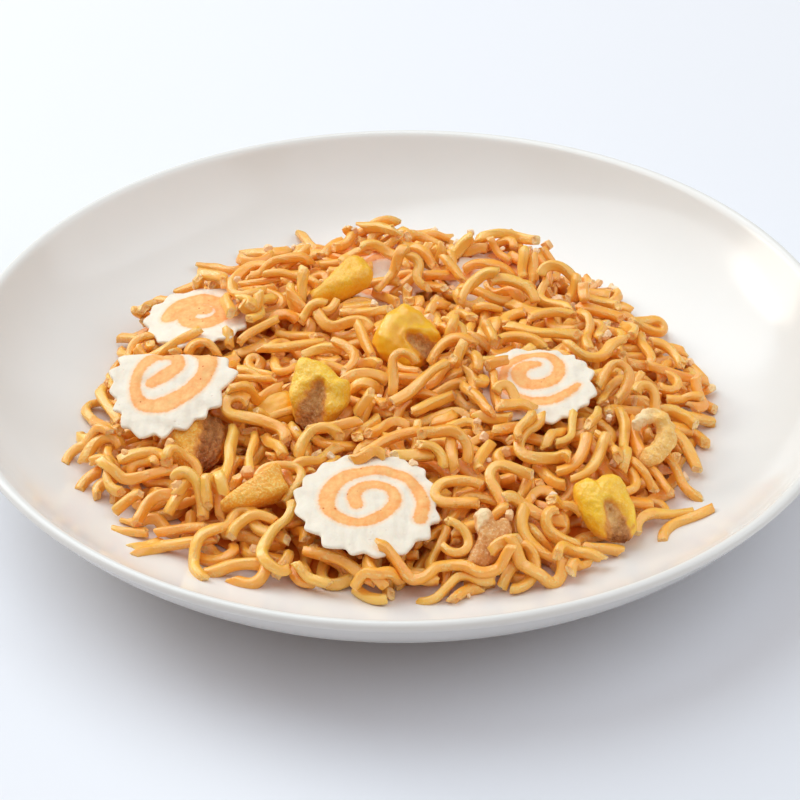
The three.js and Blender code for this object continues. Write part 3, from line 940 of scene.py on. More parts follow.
# Raises a field of lowest centre heights round solid points (lift +1), or lowers one of highest
# centre heights under them (lift -1).
def press(field, points, radius, lift=1):
    i, j, rise = ballCells(radius)
    rows = np.clip(cellOf(points[:, 0])[:, None] + i, 0, gridCount - 1)
    columns = np.clip(cellOf(points[:, 1])[:, None] + j, 0, gridCount - 1)
    heights = points[:, 2:3] + lift * rise
    mark = np.maximum if lift > 0 else np.minimum
    mark.at(field, (rows, columns), heights)


# Keeps bits out of the sight line that comes down to points that show from the front.
def keepInSight(field, points, margin):
    for ahead in np.arange(0, pile["sightReach"], pile["step"]):
        rows = cellOf(points[:, 0])
        columns = cellOf(points[:, 1] - ahead)
        heights = points[:, 2] + pile["sightSlope"] * ahead - margin
        np.minimum.at(field, (rows, columns), heights)


# A noodle bit's centre line. Its heading swings from side to side, with bends as tight as sharp
# makes them, and wanders; the plane that it swings in leans over along it; it rises and falls; and
# it may curl round once.
def bitLine(length, swing, wave, phase, sharp, wander, lean, rise, curl):
    along = np.arange(0, length + pile["lineStep"] / 2, pile["lineStep"])
    beat = fullTurn * along / wave + phase
    heading = swing * np.tanh(sharp * np.sin(beat)) / np.tanh(sharp)
    curled = curl * smoothstep(along, 0.1 * length, 0.9 * length)
    heading += wander * np.sin(0.57 * beat + 2 * phase) + curled
    plane = lean * (along - length / 2)
    across = np.sin(heading)
    climb = rise * np.sin(0.83 * beat + 3 * phase) + 0.02 * abs(curl)
    way = unit(np.stack([np.cos(heading), across * np.cos(plane), across * np.sin(plane) + climb], -1))
    line = np.cumsum(way * pile["lineStep"], axis=0)
    return line - line.mean(0)


# A random bit: most swing to and fro, some are nearly straight or bend back tightly, and some long
# ones curl.
def randomLine(random, length):
    kind = random.random()
    swing = random.uniform(0.8, 1.6)
    curl = 0.0
    if kind < 0.14:
        swing = random.uniform(0.15, 0.6)
    elif kind < 0.22 and length < 26:
        swing = random.uniform(1.6, 2.1)
    elif kind < 0.3 and length > 22:
        swing = random.uniform(0.1, 0.4)
        curl = random.choice((-1, 1)) * random.uniform(4.5, 6.6)
    sharp = random.uniform(0.3, 1.9)
    wave = fullTurn * swing * sharp / np.tanh(sharp) * random.uniform(1.9, 3.4)
    return bitLine(length, swing, np.clip(wave, 10, 40), random.uniform(0, fullTurn), sharp,
                   random.uniform(0, 0.45), random.normal(0, 0.035), random.uniform(0.02, 0.5), curl)


# Turns about X, then Y, then Z, one matrix for each row of angles.
def turns(roll, pitch, yaw):
    cx, sx, cy, sy, cz, sz = (f(a) for a in (roll, pitch, yaw) for f in (np.cos, np.sin))
    rows = [[cz * cy, cz * sy * sx - sz * cx, cz * sy * cx + sz * sx],
            [sz * cy, sz * sy * sx + cz * cx, sz * sy * cx - cz * sx],
            [-sy, cy * sx, cy * cx]]
    return np.moveaxis(np.array(rows), -1, 0)


# Lets a line down in many poses at once. Returns, for each, its points, its centre's height and
# whether it stays under what limits it there.
def letDown(line, fields, poses, allow):
    placed = np.einsum("tij,pj->tpi", turns(poses[:, 2], poses[:, 3], poses[:, 4]), line)
    x = placed[..., 0] + poses[:, 0:1]
    y = placed[..., 1] + poses[:, 1:2]
    cells = cellOf(x), cellOf(y)
    height = (fields["ground"][cells] - placed[..., 2]).max(1)
    z = placed[..., 2] + height[:, None]
    fits = (z <= fields["clear"][cells]).all(1) & (z <= fields["top"][cells] + allow).all(1)
    fits &= (np.hypot(x, y) < pile["reach"] - 3).all(1)
    return np.stack([x, y, z], -1), height, fits


# One bit: the best of many poses near the wanted places, then nudged while that lets it sink. A
# pose is x, y and the turns about X, Y and Z; each place is given a few, and each nudge some tries.
def settle(line, fields, places, random, allow, roll):
    each, tries = 6, 24
    count = len(places) * each
    poses = np.stack([np.repeat(places[:, 0], each), np.repeat(places[:, 1], each),
                      roll + random.normal(0, 0.25, count), random.normal(0, 0.2, count),
                      random.uniform(0, fullTurn, count)], -1)
    placed, height, fits = letDown(line, fields, poses, allow)
    depth = height - fields["top"][cellOf(poses[:, 0]), cellOf(poses[:, 1])]
    if not fits.any():
        return None
    best = np.where(fits, depth, np.inf).argmin()
    pose, low, chosen = poses[best], height[best], placed[best]
    for spread in (0.8, 0.4):
        near = pose + spread * random.normal(0, 1, (tries, 5)) * (1.2, 1.2, 0.2, 0.16, 0.25)
        placed, height, fits = letDown(line, fields, near, allow)
        height = np.where(fits, height, np.inf)
        if height.min() < low:
            pose, low, chosen = near[height.argmin()], height.min(), placed[height.argmin()]
    return chosen


# Bits go where most is lacking, which is worked out again every few bits. One in three stands up on
# its bends, and may then stand out of the mound by a little more; the rest lie more or less flat.
def fill(fields, lengths, random, allowMean, bits):
    coarse = (slice(None, None, 3), slice(None, None, 3))
    every, extra = 6, 0.9
    spots = np.stack([gridX[coarse].ravel(), gridY[coarse].ravel()], -1)
    for index, length in enumerate(lengths):
        if index % every == 0:
            room = np.minimum(fields["top"], fields["clear"]) - fields["ground"]
            room = np.where(np.isfinite(room[coarse]), room[coarse], 0).ravel()
            share = np.clip(room + 0.2, 0, None) ** 1.6
            if share.sum() < 1:
                break
            share /= share.sum()
        line = randomLine(random, length)
        places = spots[random.choice(len(spots), pile["places"], p=share)]
        places = places + random.uniform(-0.7, 0.7, places.shape)
        standing = random.random() < pile["standing"]
        roll = random.uniform(0.6, 2.4) if standing else random.normal(0, 0.3)
        allow = random.exponential(allowMean) + (extra if standing else 0)
        settled = settle(line, fields, places, random, allow, roll)
        if settled is not None:
            press(fields["ground"], settled, apart)
            bits.append(settled)


# The fields that the pile is settled in, over the grid: the ground that bits lie on, the top that
# they fill the mound up to and what they must stay clear of; and where the mound is.
def limits():
    top = moundTop() - pile["gauge"]
    plateTop = eatingSurface(gridRadius)
    slope = np.gradient(eating[:, 1], eating[:, 0])
    lean = np.sqrt(1 + np.interp(gridRadius, eating[:, 0], slope) ** 2)
    ground = plateTop + pile["gauge"] * lean
    inside = np.isfinite(top)
    core = np.where(inside, np.maximum(ground, top - pile["core"]), ground)
    near = picked(inside, pile["overRim"], np.logical_or)
    top = np.where(inside, top, np.where(near, ground + 0.3, pile["nowhere"]))
    return {"ground": core, "top": top, "clear": np.full_like(top, pile["ceiling"])}, inside


# Bits given one by one, each bent like a piece of wire: where its middle lies, x and y; the way in
# which it sets out; its length; the degrees by which it turns in each of its equal parts; how
# steeply the plane of its bends stands up; and how high it lies above what is under it. The angles
# are in degrees, to the left more than 0, on the plane seen from the front. First those at the
# rim and in the heap, then those that lie over a slice.
laid = {
    "hookLow": (-73, -32, 80, 7, (-60,), 15, 0),
    "hookHigh": (-68, -33.5, 20, 15, (-120, 80), 20, 0.5),
    "archLeft": (-70, -23, 80, 13, (-150,), 40, 0.5),
    "bowLeft": (-74, -21, 80, 15, (-150,), 20, 0),
    "stripLeft": (-69.5, -15.5, -55, 15, (-10, 20), 0, 1),
    "flatLeft": (-63, -42, 40, 7, (-35,), 20, 0),
    "broadLow": (-62, -50, -30, 8, (30,), 0, 0),
    "longS": (-61.5, -35, -70, 20, (75, 5), 15, 1.5),
    "innerArch": (-59.7, -33, 90, 9, (-180,), 45, 0.5),
    "innerLoop": (-58.5, -32, 20, 14, (-20, -95), 25, 1.5),
    "squareArch": (-50.3, -34, 90, 13, (-190,), 45, 0.5),
    "bendLeft": (-57, -46, 75, 12, (-85,), 20, 0.8),
    "stripTwo": (-58, -55, 45, 8, (-35,), 0, 0),
    "strip": (-52, -57, 70, 20, (-75, 10), 10, 0.3),
    "longFlat": (-50, -52, 0, 12, (-8,), 0, 0.5),
    "slantPale": (-51, -46, 40, 7, (5,), 15, 1),
    "slantTwo": (-49, -45, 55, 7, (-15,), 20, 1),
    "archMid": (-47.5, -46, 15, 12, (-125,), 30, 1),
    "squareMid": (-43, -47, 90, 15, (0, -180, 0), 40, 0),
    "under": (-38, -64, 10, 13, (-12,), 0, 0.3),
    "tail": (-34, -67.5, -35, 10, (40, 70), 10, 0),
    "meander": (-40, -57, 152, 35, (-65, -65, 45, -150, 80), 5, 0.4),
    "archFront": (-34.5, -55, 85, 12, (-130,), 35, 1),
    "esse": (-28.5, -60.5, -65, 23, (-70, 0, 90, 75), 10, 1),
    "uprightNext": (-35, -32, -88, 15, (-10, 10), 0, 0.5),
    "uprightLeft": (-40.5, -35.5, -85, 26, (-20, 30), 0, 2),
    "openLoop": (-27, -43, 100, 20, (-110, -10, -100, -10), 15, 1),
    "loopUp": (-20, -31, 95, 14, (-140,), 45, 1),
    "curlLeft": (-35, -22, 110, 26, (115, 115, 5, -10, -75), 20, 1.5),
    "crossLeft": (-34.5, -14, 15, 14, (30, -30), 10, 1),
    "crossLower": (-30, -18, 25, 10, (10,), 0, 0.5),
    "besideSlice": (-36, -6, -5, 11, (5,), 0, 1.5),
    "longPale": (-27, 7, 0, 15, (15,), 0, 1.5),
    "paleHook": (-35, 14, 60, 12, (-40,), 20, 1.5),
    "postLeft": (-42, 12, 88, 6, (15,), 55, 1),
    "rimBack": (-67, 27, -30, 8, (-10,), 10, 1),
    "spikeLeft": (-58.5, 39, -38, 9, (10,), 35, 3),
    "leftLoop": (-65, 14, 190, 13, (115,), 30, 0.5),
    "peak": (-29, 21, 70, 8, (-120,), 45, 1),
    "leafBack": (-24.5, 31, 78, 9, (10,), 55, 1),
    "backStrip": (-36, 41, 0, 10, (10,), 0, 1),
    "backBow": (-27, 39.5, 10, 15, (-55,), 15, 0.8),
    "spikeBack": (-27.5, 50.5, 50, 10, (-25,), 40, 0.4),
    "backLong": (-31, 49, 10, 16, (-8,), 0, 0),
    "backEdge": (-15, 51, 12, 12, (10,), 10, 0),
    "backRow": (-13, 45.5, -5, 11, (20,), 0, 0.4),
    "crestHook": (-12, 48.5, 65, 10, (-70,), 45, 0.2),
    "crestPost": (5, 49, 60, 8, (-10,), 50, 0.2),
    "crestSlant": (6, 47, -40, 9, (-20,), 15, 1),
    "doubleHook": (4, 36, 20, 12, (-140, 110), 40, 1),
    "beforeEdgeways": (-9, 23, 8, 12, (-12,), 0, 1),
    "waveBack": (-14.5, 16, -60, 17, (10, 70, -20, -70), 25, 1.5),
    "bowBack": (-22, 20, 70, 7, (-75,), 30, 0.8),
    "leanBack": (-9, 7, -60, 11, (-20,), 20, 1),
    "arcUpper": (-19, 5, 35, 11, (-55,), 15, 1),
    "arcLower": (-13, 0, -15, 13, (-125,), 20, 1),
    "archCentre": (-9, -7, 55, 12, (-110,), 45, 0.5),
    "archValley": (-1, -9, 85, 16, (0, -160), 45, 0.5),
    "behindSlant": (7, -17, 30, 12, (10,), 0, 0.8),
    "slantRight": (4, -13, 40, 17, (5,), 20, 2),
    "postValley": (13, -5, 68, 9, (0,), 55, 1.5),
    "loopValley": (11, 2, 85, 14, (-120,), 40, 1),
    "postPale": (-9, -19, 60, 6, (0,), 45, 1),
    "midStrip": (-16, -25, 15, 12, (-10,), 0, 2),
    "longRight": (-3, -32, 200, 16, (20,), 0, 2),
    "stubMid": (2, -37, -10, 8, (20,), 0, 1.5),
    "hookMid": (7, -38, 0, 9, (-90,), 30, 1.5),
    "postInArch": (11, -38, -85, 8, (0,), 20, 0.5),
    "archRow": (10.5, -35, 60, 16, (-160,), 40, 1),
    "loopRow": (22.5, -46, 120, 21, (0, -120, -20), 15, 1),
    "hairpin": (11.5, -49, 155, 24, (25, 170, 5), 5, 2),
    "crossing": (17, -56.5, 25, 13, (-6,), 0, 1),
    "curlRow": (12, -62, -5, 14, (-50, -90, -80), 20, 1),
    "zigzag": (29, -53, 50, 14, (-85, 45), 15, 1.5),
    "cup": (29, -60, -110, 16, (115,), 20, 0.5),
    "turnBack": (34, -57, 180, 13, (150, 20), 25, 1),
    "fork": (36.5, -50, 80, 10, (-140,), 35, 0.5),
    "underFront": (-14, -66, -10, 18, (-25, 5), 0, 0.8),
    "crossLow": (-20.5, -68.5, -35, 9, (10,), 0, 0),
    "loopLow": (-7, -69, 220, 10, (120,), 20, 0.5),
    "waveLow": (-2, -70.5, 25, 20, (-45, 45, 25, -80, 40), 0, 0),
    "waveEnd": (11.5, -71, -25, 19, (55, 20, -80, 65), 0, 0),
    "crook": (27, -67, -5, 14, (-90, -95), 10, 0),
    "stub": (22, -63.5, 65, 7, (-70,), 35, 2.5),
    "vee": (29.5, -67.5, -40, 17, (-10, 60, 110), 15, 0.8),
    "bundleLow": (38.5, -65, 75, 9, (-55,), 10, 0),
    "bundle": (38, -63, 85, 13, (-85, -10), 15, 0.8),
    "stripRight": (58, -46.5, 90, 18, (-75, -10), 5, 0.3),
    "stripEnd": (63, -48.5, 85, 17, (-60, -5), 5, 0.3),
    "footRight": (53, -44, 0, 7, (10,), 0, 0.5),
    "hookRight": (51.5, -41, -60, 10, (-105,), 15, 0.5),
    "slantNear": (54, -37, -50, 9, (10,), 0, 0.3),
    "slantFar": (59, -35, -50, 9, (-10,), 0, 0.5),
    "downFar": (63.5, -31, -60, 17, (-5, 20), 0, 0.5),
    "bowFar": (66, -23, -25, 11, (-65,), 10, 0.5),
    "rimLow": (64, -16, 15, 9, (10,), 0, 0.5),
    "rimRight": (67.5, -9, 25, 14, (-12,), 0, 0.3),
    "standRight": (70.5, -3, -120, 12, (70, -140), 25, 0),
    "curlRight": (64, -1, -10, 10, (-210,), 15, 1),
    "leafRight": (67, -5, 30, 9, (-50,), 10, 1),
    "archLow": (65, -13, 20, 10, (-80,), 25, 0.5),
    "archTall": (58, -14, 85, 15, (-170, 0), 40, 0.5),
    "archRight": (50.5, -7, 60, 21, (-10, -160, -30), 35, 1),
    "downNext": (54, -24, -85, 12, (5,), 0, 1),
    "downRight": (51, -27, -85, 23, (-15,), 0, 1.5),
    "archNear": (47.5, -33, -20, 10, (-85,), 25, 1),
    "fallNear": (39.5, -36, -100, 13, (-10, -70), 20, 1.5),
    "fallNext": (43, -37, -110, 15, (-35,), 15, 1.5),
    "lieRight": (66, 5, -10, 15, (15,), 0, 1),
    "shoulder": (65, 15, 0, 11, (-85,), 10, 0.5),
    "loopBack": (61, 28.5, 25, 19, (0, -190, -40), 35, 0.4),
    "backFar": (49, 30.5, -15, 11, (-10,), 0, 0.4),
    "postFar": (45, 33.5, 85, 7, (10,), 50, 0.4),
    "ringBack": (40, 39, 80, 17, (-230,), 45, 0.5),
    "crestBack": (33, 45, 85, 8, (15,), 50, 0.2),
    "skyArch": (22, 46.5, 55, 14, (-115,), 50, 0.3),
    "crestLean": (13, 42.5, -65, 8, (5,), 30, 0.3),
    "archBack": (28, 32, 40, 15, (-130,), 35, 1),
    "bowNorth": (18, 31, 75, 13, (-75,), 30, 1),
    "bowEast": (36, 22, 50, 12, (-75,), 15, 1.5),
    "stripEast": (34, 13, -15, 17, (20,), 0, 1.5),
    "cupEast": (47, 6, -55, 19, (50, 70, -40), 20, 1.5),
    "hookEast": (28, 8, 55, 13, (-120,), 20, 1),
    "postEast": (21, 8, -70, 7, (0,), 35, 1),
    "behindRight": (25, 2, 0, 14, (40,), 0, 1),
    "slopeRight": (47, -2, 40, 10, (-10,), 0, 1),
}
laidOver = {
    "backLoop": (-57, 12, -60, 17, (70, 20), 15, 1),
    "backArch": (-48, 8, 70, 10, (-140,), 45, 0.5),
    "backPatch": (-4, 48, 25, 14, (-30, -85), 25, 0.6),
    "backCross": (-5.5, 37.5, 10, 10, (-25,), 0, 0.3),
    "stripBack": (-2.5, 37, 50, 11, (-12,), 10, 0.6),
    "frontPale": (-8, -38, -10, 9, (60, -120), 10, 0.6),
    "wave": (8.6, -68.8, -13, 34, (-30, 25, 70, -45, -55, 75, 15), 12, 0.3),
    "rightDown": (21.5, -14, -80, 14, (-10,), 0, 1.5),
    "rightTip": (22, -7, 35, 5, (0,), 10, 2.5),
    "rightLoop": (24.5, -17.5, 100, 10, (-170, -20), 35, 1),
    "rightRow": (26, -21.5, 0, 8, (10,), 0, 1),
    "rightEsse": (30.5, -33, -80, 25, (-80, 60, 90, 15, -60), 12, 1),
    "rightLeaf": (27.5, -30, -120, 9, (-10, 70), 5, 1),
    "rightEnd": (38, -27.5, -110, 11, (10, -60), 5, 1),
    "rightSlope": (34.5, -29, -115, 9, (0,), 0, 0.5),
}


# A listed bit's centre line: it turns evenly in each of its parts, wavers a little, lies a
# little sunk over the smoothed height of what is under it, and goes over bits placed before it.
def laidLine(spec, bed, taken):
    x, y, heading, length, bends, stand, lift = spec
    waver, half, window = 9, 6, 5
    along = np.arange(0, length, pile["lineStep"])
    turned = np.interp(along / length * len(bends), range(len(bends) + 1), np.cumsum((0, *bends)))
    heading = np.radians(heading + turned + waver * np.sin(along / 2.2 + x))
    across, up = np.cumsum([np.cos(heading), np.sin(heading)], axis=1) * pile["lineStep"]
    stand = np.radians(stand)
    x = x + across - across.mean()
    y = y + (up - up.mean()) * np.cos(stand)
    even = np.ones(2 * half + 1) / (2 * half + 1)
    below = np.convolve(np.pad(bed[cellOf(x), cellOf(y)], half, mode="edge"), even, mode="valid")
    z = below - pile["sunk"] + lift + (up - up.min()) * np.sin(stand)
    over = np.maximum(taken[cellOf(x), cellOf(y)] - z, 0)
    padded = np.pad(over, window, mode="edge")
    highest = np.lib.stride_tricks.sliding_window_view(padded, window).max(-1)
    z = z + np.convolve(highest, np.hanning(9)[1:-1] / 4, mode="valid")
    return np.stack([x, y, np.minimum(z, pile["ceiling"])], -1)


# What shows of each topping from the front: from what share of its height up, and within what
# distance of a place, all in mm from the middle of the topping. Bits may lie over the rest.
everywhere = (0, 0, 99)
shown = {
    "slice_front": (0.05, *everywhere), "slice_left": (0.1, *everywhere),
    "slice_right": (0.1, 4, 0.5, 12.4), "slice_back_left": (0.1, -4.5, 4, 9.5),
    "slice_back": (0.1, -0.3, 3.2, 3.2), "slice_back_right": (0.1, -3.8, 2.6, 3.1),
    "kernel_centre": (0.34, *everywhere), "kernel_upright": (0.34, *everywhere),
    "kernel_edgeways": (0.4, *everywhere), "kernel_left": (0.45, *everywhere),
    "kernel_wedge": (0.4, *everywhere), "kernel_right": (0.2, *everywhere),
    "kernel_buried": (0.8, 0, 1, 3.4), "toasted_chip": (0.35, *everywhere),
    "puffed_crescent": (0.3, *everywhere),
}


def inSight(node, points):
    level, right, ahead, radius = shown[node]
    low, high = points.min(0), points.max(0)
    middle = (low + high) / 2 + (right, ahead, 0)
    raised = points[:, 2] > low[2] + level * (high[2] - low[2])
    return raised & (np.hypot(*(points - middle)[:, :2].T) < radius)


# Every second point of a topping is close enough to press the fields with.
def thinned(node):
    return toppingGrids[node].reshape(-1, 3)[::2]


# The listed bits, in order. Each lies over the ones before it, and bits that are settled later
# may neither touch it nor hide it from the front.
def layByHand(bed, below, free):
    overSlices = bed.copy()
    for node in slices:
        press(overSlices, thinned(node), pile["gauge"])
    taken = np.full_like(bed, pile["nowhere"])
    lines = []
    specs = [(spec, bed) for spec in laid.values()] + [(spec, overSlices) for spec in laidOver.values()]
    for spec, under in specs:
        line = laidLine(spec, under, taken)
        press(taken, line, apart)
        for field in (below, free):
            press(field, line, apart, -1)
            keepInSight(field, line, pile["gauge"])
        lines.append(line)
    return lines


# First everything round and under the toppings, then bits that lie over what is covered of them.
def noodlePile():
    random = np.random.default_rng(pile["seed"])
    fields, inside = limits()
    free = fields["clear"]
    for node in toppingGrids:
        points = thinned(node)
        if shown[node][3] > 3:
            keepInSight(free, points[inSight(node, points)], pile["gauge"])
    below = free.copy()
    over = np.full_like(free, pile["nowhere"])
    for node in toppingGrids:
        points = thinned(node)
        showing = inSight(node, points)
        press(below, points, pile["gauge"] + pile["gap"], -1)
        press(free, points[showing], pile["gauge"] + pile["gap"], -1)
        press(over, points[~showing], pile["coverHeight"])
    bed = np.where(inside, np.maximum(fields["ground"], fields["top"] + pile["gauge"]), fields["ground"])
    bits = layByHand(bed, below, free)
    placedByHand = len(bits)
    fields["clear"] = below
    lengths = np.concatenate([random.uniform(*spread) for spread in pile["first"]])
    random.shuffle(lengths)
    fill(fields, lengths, random, pile["standOut"][0], bits)
    print("pile: first bits", len(bits))
    fill(fields, random.uniform(*pile["smaller"]), random, pile["standOut"][1], bits)
    print("pile: and smaller ones", len(bits))
    for node in toppingGrids:
        press(fields["ground"], thinned(node), pile["gauge"] + 0.1)
    fields["clear"] = free
    fields["top"] = np.where(inside, np.maximum(fields["top"], over), fields["top"])
    fill(fields, random.uniform(*pile["covering"]), random, pile["standOut"][2], bits)
    print("pile: and those over the toppings", len(bits))
    for line in bits[:placedByHand]:
        press(fields["ground"], line, apart)
    room = fields["top"] - fields["ground"]
    print("pile: mean room left", float(np.nanmean(room[inside])))
    return bits, fields, inside


def noodleMaterial():
    made, tree, shader, spot = startMaterial("friedNoodle")
    tone = attribute(tree, "tone")
    cut = attribute(tree, "cut")
    along = attribute(tree, "lengthwise", "Vector")
    patch = mottled(tree, spot, 3.4, 0.45)
    fine = mottled(tree, spot, 0.6, 0.3)
    streak = add(tree, "TexNoise", {"Vector": along, "Scale": 1.0, "Detail": 2.0}).outputs["Fac"]
    skin = useGroup(tree, friedSkin, {"Vector": spot, "Size": 0.8})
    shade = plus(tree, times(tree, tone, 0.7), times(tree, patch, 0.3))
    colour = blended(tree, shade, tint(254, 156, 12), tint(255, 205, 88))
    # Pale blisters along the streaks, partly real and partly painted sheen: pale spots that stand in for
    # highlights on the bits.
    blistersAndPaintedSheen = ranged(tree, plus(tree, times(tree, streak, 0.6), times(tree, fine, 0.4)), 0.52, 0.7)
    colour = blended(tree, times(tree, blistersAndPaintedSheen, 0.6), colour, tint(255, 230, 154))
    toasted = times(tree, ranged(tree, patch, 0.3, 0.0), 0.4)
    colour = blended(tree, toasted, colour, tint(236, 134, 22))
    crumb = blended(tree, fine, tint(255, 206, 120), tint(255, 242, 206))
    colour = blended(tree, cut, colour, crumb)
    gloss = ranged(tree, fine, 0.0, 1.0, 0.34, 0.48)
    paint(tree, shader, colour, plus(tree, gloss, times(tree, cut, 0.3)))
    swell = plus(tree, times(tree, streak, 1.0), times(tree, blistersAndPaintedSheen, 0.5))
    roughen(tree, shader, plus(tree, times(tree, skin.outputs["Height"], 0.5), swell), 0.7, 0.3)
    shader.inputs["Specular IOR Level"].default_value = 1.0
    shader.inputs["Coat Weight"].default_value = 0.4
    shader.inputs["Coat Roughness"].default_value = 0.34
    soften(shader, 0.25, (1.0, 0.5, 0.08), 1.8)
    return made


# In mm: half the width and half the thickness of a bit, each within a range, how squarish its
# section is (2 is an ellipse), and how many sides it has. The pace is how many rings there are to
# the mm where a bit is straight, and how many more for each radian that it bends in a mm.
section = {"wide": (1.12, 1.42), "thick": (0.92, 1.12), "squareness": 4.0, "sides": 10,
           "pace": (0.42, 2.6)}


# The rings' centres along a bit, closer together where it bends: how far along each lies, where it
# is, the way the bit goes there, and the two directions across it, in and out of the plane of its
# bends.
def ringFrames(line):
    step, along = travelled(line)
    way = unit(np.gradient(line, axis=0))
    bend = np.linalg.norm(np.gradient(way, axis=0), axis=1) / pile["lineStep"]
    straight, more = section["pace"]
    pace = np.concatenate([[0], np.cumsum(step * (straight + more * (bend[1:] + bend[:-1]) / 2))])
    count = max(4, int(np.ceil(pace[-1])) + 1)
    at = np.interp(np.linspace(0, pace[-1], count), pace, along)
    way = unit(sampled(at, along, way))
    flatness = np.linalg.svd(line - line.mean(0))[2][2]
    up = unit(flatness - way * (way @ flatness)[:, None])
    return at, sampled(at, along, line), way, np.cross(way, up), up


# The rows that close one end: a narrow edge all round and the rough cut face, outermost last.
def endCap(ring, across, push, random):
    sides = len(ring)
    rim = ring - across * random.uniform(0.08, 0.16, (sides, 1)) + push * 0.14
    inner = ring - across * 0.6 + push * random.uniform(0.12, 0.26, (sides, 1))
    middle = np.repeat(ring.mean(0, keepdims=True) + push * 0.22, sides, axis=0)
    return [rim, inner, middle]


# A bit's skin: a squarish oblong section with rounded corners, carried along its line and turning
# slowly, and at both ends a rough cut face. With it go the cut's paleness, the bit's tone and
# places that run lengthwise for its streaks.
def bitSkin(line, random):
    sides = section["sides"]
    at, centre, way, side, up = ringFrames(line)
    twist = random.uniform(0, np.pi) + random.normal(0, 0.05) * at
    twist = twist + 0.3 * np.sin(at / 3.1 + random.uniform(0, 6))
    wide = random.uniform(*section["wide"]) * (1 + 0.06 * np.sin(at / 1.9 + random.uniform(0, 6)))
    thick = random.uniform(*section["thick"]) * (1 + 0.05 * np.sin(at / 2.7 + random.uniform(0, 6)))
    around = np.linspace(0, fullTurn, sides, endpoint=False)
    power = 2 / section["squareness"]
    u = blocky(np.cos(around), power) * wide[:, None]
    v = blocky(np.sin(around), power) * thick[:, None]
    turn = twist[:, None]
    across = (u * np.cos(turn) - v * np.sin(turn))[..., None] * side[:, None]
    across = across + (u * np.sin(turn) + v * np.cos(turn))[..., None] * up[:, None]
    rings = centre[:, None] + across
    slant = random.normal(0, 0.4, (2, 2))
    caps = []
    for end, outward in ((0, -1), (-1, 1)):
        lean = across[end] @ (slant[outward] @ np.stack([side[end], up[end]]))
        rings[end] += way[end] * (lean + random.normal(0, 0.12, sides))[:, None]
        caps.append(endCap(rings[end], across[end], way[end] * outward, random))
    grid = np.concatenate([np.stack(caps[0][::-1]), rings, np.stack(caps[1])])
    pale = 0.25 + 0.75 * random.uniform(0, 1, 2) ** 3
    cap = np.ones(3)
    cut = np.concatenate([pale[0] * cap, 0 * at, pale[1] * cap])[:, None] * np.ones(sides)
    length = np.concatenate([at[0] * cap, at, at[-1] * cap])[:, None] * np.ones(sides)
    streaks = np.stack([np.cos(around) * 1.6 + 0 * length, np.sin(around) * 1.6 + 0 * length,
                        length * 0.22 + random.uniform(0, 90)], -1)
    tone = np.clip(random.normal(0.5, 0.17) + 0.12 * np.sin(length / 4 + random.uniform(0, 6)), 0, 1)
    return grid, {"cut": cut, "tone": tone, "lengthwise": streaks}


# name: the least and the most length in mm of the bits that it holds
kinds = {"noodleWaves": (23.5, 100), "noodleHooks": (10.8, 23.5), "noodleShorts": (0, 10.8)}


def makeBits(bits):
    noodle = noodleMaterial()
    for seed, (name, (least, most)) in enumerate(kinds.items()):
        random = np.random.default_rng(seed + 60)
        chosen = [line for line in bits if least <= len(line) * pile["lineStep"] < most]
        skins = [bitSkin(line, random) for line in chosen]
        piece = buildPiece(name, skins, noodle, flatWhere="cut")
        piece.data.calc_loop_triangles()
        print(name, len(chosen), "bits,", len(piece.data.loop_triangles), "triangles")


# The heap's inside: a dome under the bits, painted darker than them as painted shade, dark as the gaps
# between them.
def coreMaterial():
    made, tree, shader, spot = startMaterial("paintedShadeCore")
    patch = mottled(tree, spot, 3.0, 0.6)
    # Darker orange than the bits: painted shade for the gaps deep in the heap.
    paint(tree, shader, blended(tree, patch, tint(214, 112, 14), tint(244, 148, 40)), 0.7)
    return made


# Turned about Z: its top lies under the bits and thins out to a low edge a little over the plate.
def makeCore():
    rows, columns = 30, 90
    polar = np.linspace(0, np.pi / 2, rows)[:, None]
    around = np.linspace(0, fullTurn, columns, endpoint=False)
    reach = pile["coreReach"]
    radius = reach * np.sin(polar)
    x, y = radius * np.cos(around), radius * np.sin(around)
    under, overPlate, edge, least = 1.4, 0.2, 0.3, 0.4
    target = moundTop()[cellOf(x), cellOf(y)] - pile["core"] - under
    base = eatingSurface(radius) + overPlate + 0 * x
    rough = 0.7 * ripples(np.stack([x, y, 0 * x], -1), 6, 3)
    share = smoothstep(reach - radius, 0, 10)
    top = base + edge + np.maximum(target + rough - base, least) * share
    upper = np.stack([x, y, top], -1)
    lower = np.stack([x, y, base], -1)[::-1]
    core = buildPiece("noodleCore", [(np.concatenate([upper, lower]), {})], coreMaterial())
    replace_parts(core, "noodle_mound")


bits, fields, inside = noodlePile()
makeBits(bits)
makeCore()
print("noodles: meshes made")


# ---- crumbs ----
crumbs = {"count": 150, "least": 0.5, "most": 1.5, "seed": 91}
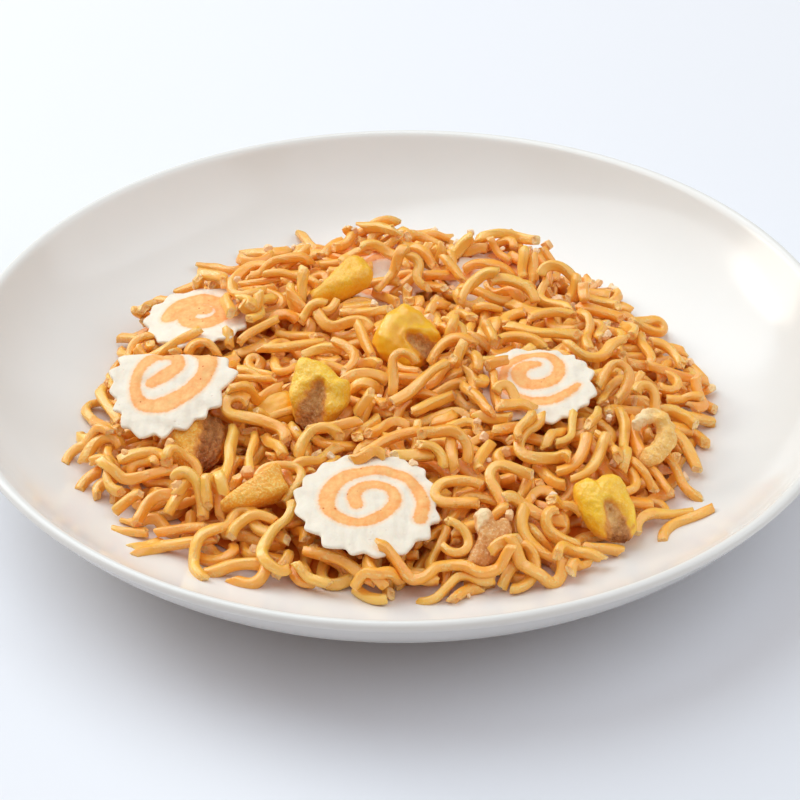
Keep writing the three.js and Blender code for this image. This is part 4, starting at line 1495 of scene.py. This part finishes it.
# Larger pale blocks at the front: where each lies, x and y, and half its size.
blocks = [(-64, -31, 1.3), (-53.5, -32, 1.4), (-53, -41, 1.7), (-51, -46, 1.3), (-47.5, -41, 1.4),
          (-35.5, -39, 1.6), (23.5, -56, 1.3), (33.5, -45.5, 1.3), (15, -28, 1.1), (2, -40, 1.2)]


def crumbMaterial():
    made, tree, shader, spot = startMaterial("noodleCrumb")
    fine = mottled(tree, spot, 0.6, 0.4)
    shade = plus(tree, times(tree, attribute(tree, "tone"), 0.7), times(tree, fine, 0.3))
    paint(tree, shader, blended(tree, shade, tint(250, 186, 104), tint(254, 238, 210)), 0.55)
    roughen(tree, shader, fine, 0.4, 0.3)
    return made


# Broken bits of noodle: small uneven blocks with flat faces, lying on whatever is there.
def makeCrumbs(fields, inside):
    random = np.random.default_rng(crumbs["seed"])
    surface = fields["ground"] - 2 * pile["gauge"] + 0.2
    rows, columns = 5, 6
    polar = np.linspace(0, np.pi, rows)[:, None]
    around = np.linspace(0, fullTurn, columns, endpoint=False)
    ball = np.stack([np.sin(polar) * np.cos(around), np.sin(polar) * np.sin(around),
                     np.cos(polar) * np.ones_like(around)], -1)
    places = np.argwhere(inside & (fields["ground"] < fields["clear"] - 1))
    drawn = places[random.choice(len(places), crumbs["count"])]
    sizes = crumbs["least"] + (crumbs["most"] - crumbs["least"]) * random.random(crumbs["count"]) ** 2
    chosen = [(gridX[tuple(place)], gridY[tuple(place)], size) for place, size in zip(drawn, sizes)]
    skins = []
    for x, y, size in blocks + chosen:
        block = blocky(ball, 0.6) * (1, random.uniform(0.6, 1), random.uniform(0.5, 0.9))
        block = block * size * (1 + random.normal(0, 0.1, ball.shape[:2] + (1,)))
        block[0], block[-1] = block[0].mean(0), block[-1].mean(0)
        block = block @ turns(*random.uniform(0, 3, (3, 1)))[0].T
        block = block + (x, y, surface[cellOf(np.array(x)), cellOf(np.array(y))] + 0.6 * size)
        skins.append((block, {"tone": np.full(ball.shape[:2], random.random())}))
    buildPiece("noodleCrumbs", skins, crumbMaterial(), flatWhere="tone")


makeCrumbs(fields, inside)
print("crumbs:", crumbs["count"])
